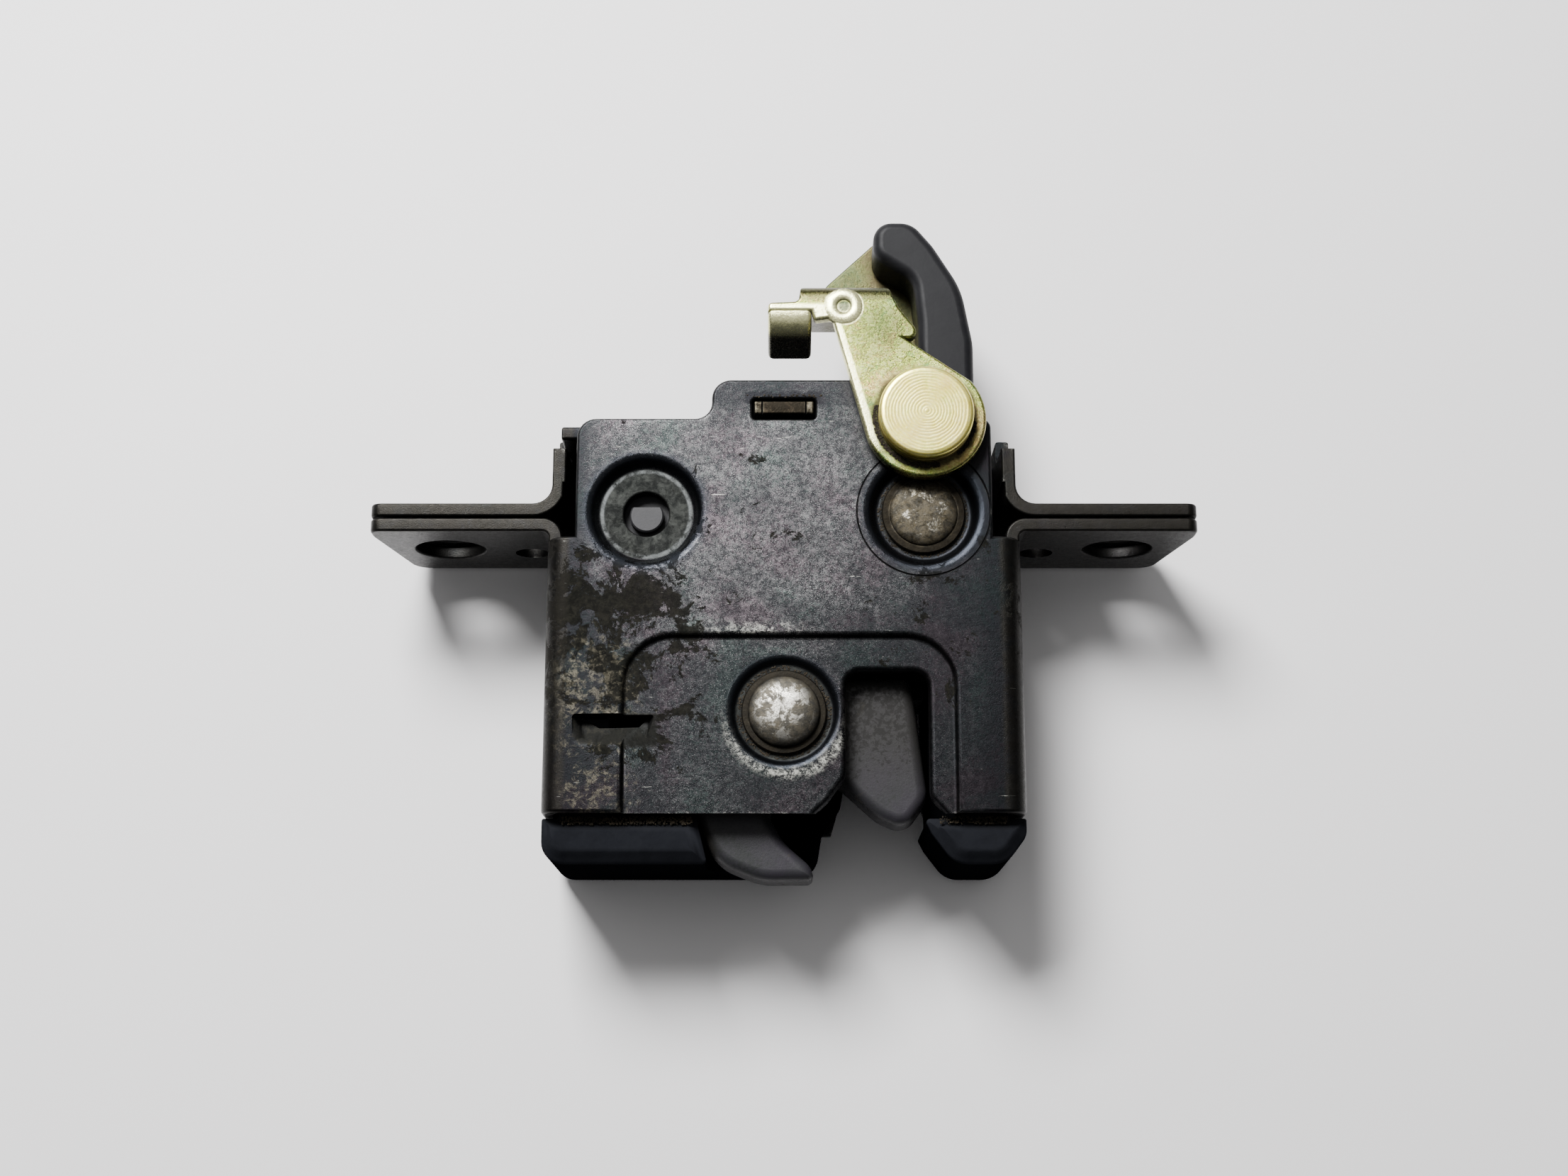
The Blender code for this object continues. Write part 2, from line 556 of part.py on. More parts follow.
def back_case(look):
    """Back plate, upper walls, top wall, upper flange sheets and staked lug, one folded sheet."""
    plate_x = WALL_INNER_X - GAP
    wall_x = CASE_HALF_WIDTH - GAP
    fold_y = UPPER_BOTTOM_Y + UPPER_BEND
    ear_x = TAB_RIGHT_X + EDGE_RADIUS
    lug_y = LUG_TOP_Y - SHEET / 2
    plate = rounded([(-plate_x, CASE_BOTTOM, EDGE_RADIUS), (plate_x, CASE_BOTTOM, EDGE_RADIUS),
                     (plate_x, fold_y, 0.0), (ear_x, SHOULDER_Y - SHEET, 0.0),
                     (ear_x, TAB_TOP_Y + SHEET, 2 * EDGE_RADIUS),
                     (-TAB_LEFT_X, TAB_TOP_Y + SHEET, 2 * EDGE_RADIUS), (-TAB_LEFT_X, lug_y, EDGE_RADIUS),
                     (TAB_LEFT_X, lug_y, EDGE_RADIUS), (TAB_LEFT_X, SHOULDER_Y - SHEET, 0.0),
                     (-plate_x, fold_y, 0.0)])
    case = prism("Back case", plate, 0.0, SHEET)

    outer = rounded([(-wall_x, 0.0, FACE_BEND), (wall_x, 0.0, FACE_BEND),
                     (wall_x, FLANGE_FRONT_Z, 0.0), (-wall_x, FLANGE_FRONT_Z, 0.0)])
    space_x = wall_x - SHEET
    inner = rounded([(-space_x, SHEET, FACE_BEND - SHEET), (space_x, SHEET, FACE_BEND - SHEET),
                     (space_x, CASE_DEPTH, 0.0), (-space_x, CASE_DEPTH, 0.0)])
    channel = prism("Upper channel", outer, fold_y, SHOULDER_Y, "Y")
    step_z = FLANGE_FRONT_Z - UPPER_STEP
    step = rounded([(UPPER_WALL_TOP_Y, CASE_DEPTH, 0.0), (UPPER_WALL_TOP_Y, step_z, EDGE_RADIUS),
                    (CASE_DEPTH, step_z, 0.0), (CASE_DEPTH, CASE_DEPTH, 0.0)])
    cut(channel, prism("Channel space", inner, fold_y - SHEET, SHOULDER_Y + SHEET, "Y"),
        prism("Step", step, -CASE_DEPTH * 2, CASE_DEPTH * 2, "X"))
    join(case, channel)
    for sign in (1, -1):
        join(case, flange_sheet("Upper flange", 1, UPPER_BEND, UPPER_BOTTOM_Y, fold_y + SHEET,
                                wall_x, NUT_HOLE_RADIUS, sign))

    top_wall = box_outline(SHOULDER_Y - SHEET, SHEET / 2, SHOULDER_Y, FACE_REAR_Z - SHEET)
    join(case, prism("Top wall", top_wall, -wall_x + SHEET / 2, TAB_LEFT_X, "X"))
    lug = box_outline(LUG_TOP_Y - SHEET, 0.0, LUG_TOP_Y, FACE_TOP_Z + LUG_STAKE)
    join(case, prism("Lug", lug, -LUG_HALF_WIDTH, LUG_HALF_WIDTH, "X"))

    for centre in (FORK_PIVOT, PAWL_PIVOT, LEVER_PIVOT):
        pressed_seat(case, centre, 0.0, 1, REAR_SEAT_RADIUS, REAR_SEAT_RADIUS + SEAT_WALL_LEAN)
    above = BACK_INNER_Z + SHEET
    cut(case, prism("Slot", slot_outline(), -SHEET, above),
        column("Fork pin hole", RIVET_SHANK_RADIUS + GAP, -SHEET, above, FORK_PIVOT),
        column("Pawl pin hole", RIVET_SHANK_RADIUS + GAP, -SHEET, above, PAWL_PIVOT),
        column("Lever pin hole", PIN_RADIUS + BEARING_GAP, -SHEET, above, LEVER_PIVOT))
    return finish(case, "back_case", look)


def stepped_rivet(name, journal, centre, dome, look):
    """Pin with a thick middle, riveted over at both ends."""
    head_z = SEAT_FACE_Z + GAP
    collar_top = head_z + RIVET_COLLAR
    dome_points = [(RIVET_HEAD_RADIUS * math.cos(turn), collar_top + dome * math.sin(turn))
                   for turn in (math.radians(17.0 * i) for i in range(6))]
    profile = [(RIVET_FOOT_RADIUS, BACK_SEAT_Z - GAP - RIVET_FOOT),
               (RIVET_FOOT_RADIUS, BACK_SEAT_Z - GAP), (RIVET_SHANK_RADIUS, BACK_SEAT_Z - GAP),
               (RIVET_SHANK_RADIUS, BACK_INNER_Z + GAP), (journal, BACK_INNER_Z + GAP),
               (journal, SEAT_INNER_Z - GAP), (RIVET_SHANK_RADIUS, SEAT_INNER_Z - GAP),
               (RIVET_SHANK_RADIUS, head_z), (RIVET_COLLAR_RADIUS, head_z),
               (RIVET_COLLAR_RADIUS, collar_top - RIVET_COLLAR / 3)] + dome_points
    return finish(turned(name, profile, centre), name, look)


def spool(name, journal, top, centre, look):
    """Plastic sleeve with a foot flange that carries a torsion spring."""
    bore = journal + BEARING_GAP
    barrel = bore + SPOOL_WALL
    foot = barrel + SPRING_CLEARANCE + 2 * SPRING_WIRE + SPRING_CLEARANCE
    low = BACK_INNER_Z + GAP
    profile = [(bore, low), (foot, low), (foot, low + SPOOL_FLANGE), (barrel, low + SPOOL_FLANGE),
               (barrel, top), (bore, top)]
    return finish(turned(name, profile, centre, 24, True), name, look)


def coil_radius(journal):
    """Radius of the wire's middle line on the spool of a journal."""
    return journal + BEARING_GAP + SPOOL_WALL + SPRING_CLEARANCE + SPRING_WIRE


def foot_height():
    """Height of the lowest turn, just above the spool's flange."""
    return BACK_INNER_Z + GAP + SPOOL_FLANGE + SPRING_CLEARANCE + SPRING_WIRE


def leg(place, direction, length):
    """End of a straight leg that leaves the coil along its tangent."""
    x, y = polar(length, direction, place)
    return (x, y, place[2])


def torsion_spring(name, journal, top, centre, spring, look, tip_z=0.0):
    """Wound wire whose legs leave the coil along its tangents; the arm may end in an upright tip."""
    radius = coil_radius(journal)
    low = foot_height()
    high = top - SPRING_CLEARANCE - SPRING_WIRE
    turns = math.floor((high - low) / SPRING_PITCH) + spring["part_turn"]
    arm_angle, hand = spring["arm_angle"], spring["hand"]
    first_angle = arm_angle - hand * 360.0 * turns
    steps = int(turns * 12)
    coil = []
    for i in range(steps + 1):
        x, y = polar(radius, first_angle + hand * 360.0 * turns * i / steps, centre)
        coil.append((x, y, low + (high - low) * i / steps))
    foot_end = leg(coil[0], first_angle - hand * 90.0, spring["foot"])
    arm_end = leg(coil[-1], arm_angle + hand * 90.0, spring["arm"])
    arm_tip = [(arm_end[0], arm_end[1], tip_z)] if tip_z else []
    points = [foot_end] + coil + [arm_end] + arm_tip
    curve = bpy.data.curves.new(name, "CURVE")
    curve.dimensions = "3D"
    curve.bevel_depth = SPRING_WIRE
    curve.bevel_resolution = 1
    curve.use_fill_caps = True
    line = curve.splines.new("POLY")
    line.points.add(len(points) - 1)
    for point, place in zip(line.points, points):
        point.co = (*place, 1.0)
    wire = bpy.data.objects.new(name, curve)
    bpy.context.scene.collection.objects.link(wire)
    bm = bmesh.new()
    bm.from_mesh(wire.evaluated_get(bpy.context.evaluated_depsgraph_get()).to_mesh())
    bmesh.ops.remove_doubles(bm, verts=bm.verts, dist=1e-6)
    bpy.data.objects.remove(wire)
    return finish(new_object(name, bm), name, look)


def around(centre, outline):
    """Outline drawn round the origin, moved to a pivot."""
    return [(centre[0] + x, centre[1] + y) for x, y in outline]


def fork_outline():
    """Two prongs, the striker mouth between them, the catch notch and the rim."""
    mouth = STRIKER_RADIUS + MOUTH_CLEARANCE
    seat = polar(STRIKER_SEAT_RADIUS, MOUTH_ANGLE)
    across = polar(mouth, MOUTH_OPENING + 90.0)
    inward = polar(mouth, MOUTH_OPENING + 180.0)
    mouth_right = (seat[0] + across[0] + inward[0], seat[1] + across[1] + inward[1])
    mouth_left = (seat[0] - across[0] + inward[0], seat[1] - across[1] + inward[1])
    shoulder = polar(FORK_RIM_RADIUS * 0.95, 17.7)
    notch_root = (CATCH_ROOT_RADIUS * math.cos(math.radians(CATCH_START)), shoulder[1])
    catch_root = polar(CATCH_ROOT_RADIUS, CATCH_START + 3.0)
    right = [mouth_right + (mouth * 0.94,), polar(FORK_REACH * 0.83, -47.3) + (FORK_ROUND * 0.5,),
             polar(FORK_REACH, -43.0) + (FORK_ROUND * 0.325,),
             polar(FORK_REACH, -29.8) + (FORK_ROUND * 0.375,),
             shoulder + (FORK_ROUND * 0.2,), notch_root + (FORK_ROUND * 0.1,),
             catch_root + (FORK_ROUND * 0.1,)]
    rim = [point + (0.0,) for point in arc((0.0, 0.0), FORK_RIM_RADIUS, CATCH_START, CATCH_END, 14)]
    left = [polar(FORK_WAIST * 1.09, 153.0) + (FORK_ROUND * 0.75,),
            polar(FORK_WAIST * 1.09, 205.0) + (FORK_ROUND * 0.75,),
            polar(FORK_REACH * 0.825, 231.8) + (FORK_ROUND,),
            polar(FORK_REACH * 0.972, 245.0) + (FORK_ROUND * 0.75,),
            polar(FORK_REACH, 262.0) + (FORK_ROUND,),
            polar(FORK_REACH * 1.005, 280.0) + (FORK_ROUND * 0.1375,),
            polar(FORK_REACH * 0.915, 280.0) + (FORK_ROUND * 0.375,),
            polar(FORK_REACH * 0.757, 270.0) + (FORK_ROUND * 0.75,),
            mouth_left + (mouth * 0.94,)]
    return rounded(right + rim + left)


def fork(look):
    """Coated fork with its bore and the boss that winds the spring."""
    plate = prism("Fork", around(FORK_PIVOT, fork_outline()), FORK_REAR_Z, FORK_TOP_Z)
    soften(plate, FORK_EDGE)
    boss_place = polar(FORK_BOSS_REACH, FORK_BOSS_ANGLE, FORK_PIVOT)
    join(plate, column("Boss", FORK_BOSS_RADIUS, FORK_REAR_Z - FORK_BOSS_LENGTH,
                       FORK_REAR_Z + FORK_BOSS_LENGTH, boss_place, 12))
    cut(plate, column("Bore", FORK_JOURNAL_RADIUS + BEARING_GAP, FORK_REAR_Z - SHEET,
                      FORK_TOP_Z + SHEET, FORK_PIVOT))
    return finish(plate, "fork", look, FORK_PIVOT)


def pawl(look):
    """Strut from the hub to the nose that rides on the fork rim, with a tail tab."""
    rest_radius = FORK_RIM_RADIUS + PAWL_RIM_GAP
    tip = polar(rest_radius, PAWL_NOSE_ANGLE, FORK_PIVOT)
    heel_turn = math.degrees(PAWL_NOSE_WIDTH / rest_radius)
    heel = polar(rest_radius, PAWL_NOSE_ANGLE - heel_turn, FORK_PIVOT)
    middle = polar(rest_radius, PAWL_NOSE_ANGLE - heel_turn / 2, FORK_PIVOT)
    hub = PAWL_HUB_RADIUS
    nose = PAWL_NOSE_HEIGHT
    strut = rounded([tip + (0.1 * nose,), middle + (0.0,), heel + (0.16 * nose,),
                     (heel[0] + 0.3 * nose, heel[1] + 0.24 * nose, 0.4 * nose),
                     (PAWL_PIVOT[0] - hub * 0.4, PAWL_PIVOT[1] - hub * 0.9, 0.0),
                     (PAWL_PIVOT[0], PAWL_PIVOT[1], 0.0),
                     (PAWL_PIVOT[0] - hub * 0.45, PAWL_PIVOT[1] + hub * 0.88, 0.0),
                     (tip[0] + 0.12 * nose, tip[1] + nose, 0.24 * nose)])
    body = prism("Pawl", strut, PAWL_REAR_Z, PAWL_TOP_Z)
    join(body, column("Hub", hub, PAWL_REAR_Z, PAWL_TOP_Z, PAWL_PIVOT),
         prism("Tail", box_outline(PAWL_PIVOT[0] - PAWL_TAIL_HALF_WIDTH, PAWL_PIVOT[1],
                                   PAWL_PIVOT[0] + PAWL_TAIL_HALF_WIDTH, PAWL_PIVOT[1] + PAWL_TAIL_REACH,
                                   PAWL_TAIL_HALF_WIDTH / 2), PAWL_REAR_Z, PAWL_TOP_Z))
    cut(body, column("Bore", PAWL_JOURNAL_RADIUS + BEARING_GAP, PAWL_REAR_Z - SHEET,
                     PAWL_TOP_Z + SHEET, PAWL_PIVOT))
    return finish(body, "pawl", look, PAWL_PIVOT)


def hook_flap_outline(y):
    """Bent flap as (y, z) points: it leaves the front arm in a bend and slants rearwards."""
    centre = (y + HOOK_BEND_Y, ARM_TOP_Z - HOOK_BEND_RADIUS)
    turn = 90.0 + HOOK_BEND_ANGLE
    outer = arc(centre, HOOK_BEND_RADIUS, 90.0, turn, 6)
    inner = arc(centre, HOOK_BEND_RADIUS - LEVER_SHEET, turn, 90.0, 6)
    length = (outer[-1][1] - HOOK_FLAP_REAR_Z) / math.sin(math.radians(HOOK_BEND_ANGLE))
    return outer + [polar(length, turn + 90.0, outer[-1]), polar(length, turn + 90.0, inner[0])] + inner


def release_lever(look):
    """Front arm with its round end, hook strip, hook flap and driver tab."""
    x, y = LEVER_PIVOT
    top = y + ARM_REACH
    end = LEVER_END_RADIUS
    bend = y + HOOK_BEND_Y
    round_end = arc(LEVER_PIVOT, end, 200.0, 400.0, 16)
    arm = round_end + rounded([(x + 0.1 * end, y + 0.55 * ARM_REACH, 0.0),
                               (x - 0.7 * ARM_NECK, top - 0.63 * ARM_NECK, 0.43 * ARM_NECK),
                               (x - ARM_NECK, top, ARM_CORNER),
                               (x + DRIVER_TAB_RIGHT, top, 0.0), (x + DRIVER_TAB_LEFT, top, ARM_CORNER),
                               (x + DRIVER_TAB_LEFT - ARM_CORNER, y + HOOK_TOP, ARM_CORNER),
                               (x + HOOK_LEFT, y + HOOK_TOP, ARM_CORNER), (x + HOOK_LEFT, bend, 0.0),
                               (x + HOOK_RIGHT, bend, 0.0),
                               (x + HOOK_RIGHT + ARM_CORNER, bend - 1.5 * ARM_CORNER, ARM_CORNER),
                               (x + 0.8 * DRIVER_TAB_LEFT, bend - 1.5 * ARM_CORNER, 2 * ARM_CORNER)])
    plate = prism("Release lever", arm, ARM_REAR_Z, ARM_TOP_Z)
    tab = box_outline(top - LEVER_SHEET, REAR_LEVER_TOP_Z + GAP, top, ARM_TOP_Z)
    dimple = [(DIMPLE_RADIUS, ARM_TOP_Z - LEVER_SHEET / 2), (DIMPLE_RADIUS, ARM_TOP_Z),
              (DIMPLE_RADIUS * 0.7, ARM_TOP_Z + DIMPLE_RISE), (DIMPLE_RADIUS * 0.4, ARM_TOP_Z)]
    join(plate, prism("Driver tab", tab, x + DRIVER_TAB_LEFT, x + DRIVER_TAB_RIGHT, "X"),
         prism("Hook flap", hook_flap_outline(y), x + HOOK_LEFT, x + HOOK_RIGHT, "X"),
         turned("Dimple", dimple, (x + DIMPLE_OFFSET[0], y + DIMPLE_OFFSET[1]), 16))
    cut(plate, column("Bore", PIN_RADIUS + LEVER_GAP, ARM_REAR_Z - SHEET, ARM_TOP_Z + SHEET, LEVER_PIVOT))
    return finish(plate, "release_lever", look, LEVER_PIVOT)


def horn_outline():
    """Curved nose seen from the front, drawn from the lever pivot."""
    x, y = LEVER_PIVOT
    half = HORN_HALF_WIDTH
    reach = HORN_REACH
    tip = x - 0.9 * half
    neck = x - 0.058 * half
    return rounded([(x + half, y + 0.12 * reach, 0.07 * reach), (x + half, y + 0.42 * reach, 0.34 * reach),
                    (x + 0.8 * half, y + 0.68 * reach, 0.4 * reach),
                    (x + 0.26 * half, y + 0.885 * reach, 0.34 * reach),
                    (x - 0.145 * half, y + reach, 0.1 * reach), (tip, y + reach, 0.095 * reach),
                    (tip, y + 0.83 * reach, 0.088 * reach),
                    (neck - 0.087 * half, y + 0.72 * reach, 0.1 * reach),
                    (neck, y + 0.507 * reach, 0.135 * reach), (neck, y + 0.152 * reach, 0.05 * reach)])


def rear_lever(look):
    """Rear arm behind the horn, with its hub and the pip that drives the pawl."""
    x, y = LEVER_PIVOT
    hub = REAR_HUB_RADIUS
    reach = REAR_REACH
    arm = rounded([(x + hub, y, 0.0), (x + 1.4 * hub, y + 0.433 * reach, 0.4 * reach),
                   (x + 1.19 * hub, y + 0.7 * reach, 0.4 * reach),
                   (x + 0.46 * hub, y + 0.893 * reach, 0.267 * reach),
                   (x - 0.23 * hub, y + reach, 0.1 * reach),
                   (x - 1.115 * hub, y + 0.987 * reach, 0.067 * reach),
                   (x - 2.46 * hub, y + 0.767 * reach, 0.053 * reach),
                   (x - 2.35 * hub, y + 0.64 * reach, 0.053 * reach),
                   (x - 1.44 * hub, y + 0.5 * reach, 0.133 * reach), (x - hub, y, 0.0)])
    plate = prism("Rear lever", arm, REAR_LEVER_REAR_Z, REAR_LEVER_TOP_Z)
    pip = (x + PIP_OFFSET[0], y + PIP_OFFSET[1])
    join(plate, column("Hub", REAR_HUB_RADIUS, REAR_LEVER_REAR_Z, REAR_LEVER_TOP_Z, LEVER_PIVOT),
         column("Pip foot", PIP_FOOT_RADIUS, REAR_LEVER_REAR_Z, REAR_LEVER_TOP_Z, pip, 16),
         column("Pip", PIP_RADIUS, REAR_LEVER_REAR_Z + SHEET / 2, REAR_LEVER_TOP_Z + PIP_LENGTH, pip, 16))
    cut(plate, column("Bore", PIN_RADIUS + LEVER_GAP, 0.0, CASE_DEPTH, LEVER_PIVOT))
    return finish(plate, "rear_lever", look, LEVER_PIVOT)


def horn(look):
    """Moulded nose on the rear arm."""
    body = prism("Horn", horn_outline(), REAR_LEVER_TOP_Z + GAP, HORN_TOP_Z)
    soften(body, HORN_EDGE, 60.0)
    return finish(body, "horn", look, LEVER_PIVOT)


def lever_pin(look):
    """Turned pin with a wide flat head and a groove for its retaining ring."""
    head_low = ARM_TOP_Z + LEVER_GAP
    head_top = head_low + PIN_HEAD_HEIGHT
    chamfer = PIN_HEAD_CHAMFER
    ring_low = BACK_SEAT_Z - LEVER_GAP - RING_THICKNESS
    groove = PIN_RADIUS - RING_GROOVE
    profile = [(PIN_RADIUS, GAP), (PIN_RADIUS, ring_low - LEVER_GAP / 2),
               (groove, ring_low - LEVER_GAP / 2), (groove, BACK_SEAT_Z - LEVER_GAP / 2),
               (PIN_RADIUS, BACK_SEAT_Z - LEVER_GAP / 2), (PIN_RADIUS, head_low),
               (PIN_HEAD_RADIUS - chamfer, head_low), (PIN_HEAD_RADIUS, head_low + chamfer),
               (PIN_HEAD_RADIUS, head_top - chamfer), (PIN_HEAD_RADIUS - chamfer, head_top)]
    return finish(turned("Lever pin", profile, LEVER_PIVOT, 36), "lever_pin", look, LEVER_PIVOT)


def pin_ring(look):
    """Open retaining ring in the groove at the rear end of the lever pin."""
    low = BACK_SEAT_Z - LEVER_GAP - RING_THICKNESS
    inner = PIN_RADIUS - RING_GROOVE + LEVER_GAP
    outline = arc(LEVER_PIVOT, RING_RADIUS, 20.0, 340.0, 24) + arc(LEVER_PIVOT, inner, 340.0, 20.0, 20)
    ring = prism("Pin ring", outline, low, low + RING_THICKNESS)
    return finish(ring, "pin_ring", look, LEVER_PIVOT)


def guide_outline():
    """Striker guide seen from the front: a filled block with the striker channel open below."""
    inner_x = WALL_INNER_X - GAP
    outer_x = CASE_HALF_WIDTH
    ledge = CASE_BOTTOM - GAP
    shoulder = ledge - GUIDE_PAD_SHOULDER
    bottom = GUIDE_PAD_BOTTOM
    left = SLOT_LEFT_X - GAP
    right = SLOT_RIGHT_X + GAP
    return rounded([(-inner_x, ledge, 0.0), (-outer_x, ledge, 0.0),
                    (-outer_x, bottom, GUIDE_PAD_CORNER),
                    (left - 0.76 * GUIDE_PAD_CORNER, bottom, GUIDE_PAD_CORNER),
                    (left - 0.57 * GUIDE_PAD_CORNER, ledge, EDGE_RADIUS),
                    (left, SLOT_FLARE_Y, EDGE_RADIUS), (left, BUFFER_TOP_Y, 0.0),
                    (right, BUFFER_TOP_Y, 0.0), (right, ledge, 0.65 * GUIDE_PAD_CORNER),
                    (right + GUIDE_PAD_SHOULDER, bottom, GUIDE_PAD_CORNER),
                    (outer_x - GUIDE_PAD_SHOULDER, bottom, GUIDE_PAD_CORNER),
                    (outer_x, shoulder, EDGE_RADIUS), (outer_x, ledge, 0.0), (inner_x, ledge, 0.0),
                    (inner_x, GUIDE_TOP_Y, EDGE_RADIUS), (-inner_x, GUIDE_TOP_Y, EDGE_RADIUS)])


def striker_guide(look):
    """Black moulding that lines the striker mouth, with its rails and its two pads."""
    body = prism("Guide", guide_outline(), SHEET + GAP, GUIDE_PAD_TOP_Z)
    chamfer_rim(body, GUIDE_PAD_TOP_Z, GUIDE_PAD_CHAMFER)
    reach = FORK_REACH + 2 * GAP
    sweep = column("Fork sweep", reach, GUIDE_BASE_TOP_Z, FACE_TOP_Z, FORK_PIVOT, 48)
    half_rail = GUIDE_RAIL_X / 2
    below = GUIDE_PAD_BOTTOM - SHEET
    prong_end = rounded([(-half_rail - 2 * GAP, CASE_BOTTOM + SHEET, 0.0), (half_rail, FORK_PIVOT[1], 0.0),
                         (half_rail, below, 0.0), (2 * SHEET - FORK_WAIST - GAP, below, 0.0),
                         (SHEET / 2 - FORK_WAIST, CASE_BOTTOM - GAP, 0.0)])
    inside = box_outline(-WALL_INNER_X, CASE_BOTTOM - GAP, WALL_INNER_X, 0.0)
    hollow = prism("Hollow", inside, GUIDE_BASE_TOP_Z, FACE_TOP_Z)
    right = box_outline(GUIDE_RAIL_X, CASE_BOTTOM - SHEET, WALL_INNER_X, GUIDE_TOP_Y)
    rail_top = FACE_REAR_Z - PANEL_DEPTH - GAP
    right_rail = prism("Right rail", right, 0.0, rail_top)
    left_rail = prism("Left rail", mirrored(right), 0.0, rail_top)
    cut(hollow, right_rail, left_rail)
    cut(body, hollow, prism("Prong end", prong_end, GUIDE_BASE_TOP_Z, FACE_TOP_Z))
    lower = box_outline(0.0, CASE_BOTTOM - SHEET * 4, GUIDE_RAIL_X, CASE_BOTTOM + SHEET)
    combine(sweep, [prism("Lower right", lower, 0.0, FACE_TOP_Z + SHEET)], "INTERSECT")
    first = FORK_SPRING["arm_angle"] - 360.0 * FORK_SPRING["part_turn"]
    start = polar(coil_radius(FORK_JOURNAL_RADIUS), first, FORK_PIVOT)
    half_groove = GUIDE_GROOVE / 2
    end = polar(FORK_SPRING["foot"] + half_groove, first - 90.0, start)
    groove = [polar(half_groove, first, start), polar(half_groove, first - 180.0, start),
              polar(half_groove, first - 180.0, end), polar(half_groove, first, end)]
    pocket_radius = REAR_SEAT_RADIUS + 2 * SEAT_WALL_LEAN + GAP
    cut(body, sweep, column("Spring pocket", pocket_radius, 0.0, FORK_REAR_Z, FORK_PIVOT),
        column("Arm well", GUIDE_WELL_RADIUS, GUIDE_BASE_TOP_Z - GUIDE_WELL_DEPTH, FORK_REAR_Z, FORK_PIVOT),
        prism("Foot groove", groove, 0.0, foot_height() + half_groove))
    return finish(body, "striker_guide", look)


def striker_buffer(look):
    """Rubber block at the inner end of the striker channel."""
    block = box_outline(SLOT_LEFT_X, BUFFER_BOTTOM_Y, SLOT_RIGHT_X, BUFFER_TOP_Y - GAP, EDGE_RADIUS / 3)
    buffer = prism("Buffer", block, SHEET + 2 * GAP, GUIDE_BASE_TOP_Z - GAP)
    return finish(buffer, "striker_buffer", look)


def spacer_peg(look):
    """Moulded spacer between the case halves, with the D-shaped tip seen in the left hole."""
    low = SHEET + GAP
    profile = [(SPACER_RADIUS, low), (SPACER_RADIUS, SEAT_INNER_Z - GAP),
               (SPACER_TIP_RADIUS, SEAT_INNER_Z - GAP), (SPACER_TIP_RADIUS, SPACER_TIP_TOP_Z)]
    peg = turned("Spacer", profile, SPACER_PLACE)
    x, y = SPACER_PLACE
    flat = box_outline(x - SPACER_RADIUS, y + SPACER_TIP_FLAT, x + SPACER_RADIUS, y + SPACER_RADIUS)
    cut(peg, prism("Flat", flat, SEAT_INNER_Z - GAP, FACE_TOP_Z))
    return finish(peg, "spacer_peg", look)


def washer(name, journal, low, high, centre, look):
    """Flat spacer washer on a pin."""
    bore = journal + BEARING_GAP
    return finish(pipe(name, bore, bore + WASHER_OVERHANG, low, high, centre), name, look)


def joint_axis(name, pivot, pieces):
    """Empty on a joint's axis that carries the pieces that turn with it."""
    axis = bpy.data.objects.new(name, None)
    axis.location = (pivot[0], pivot[1], 0.0)
    bpy.context.scene.collection.objects.link(axis)
    for piece in pieces:
        piece.parent = axis
        piece.location = (0.0, 0.0, 0.0)


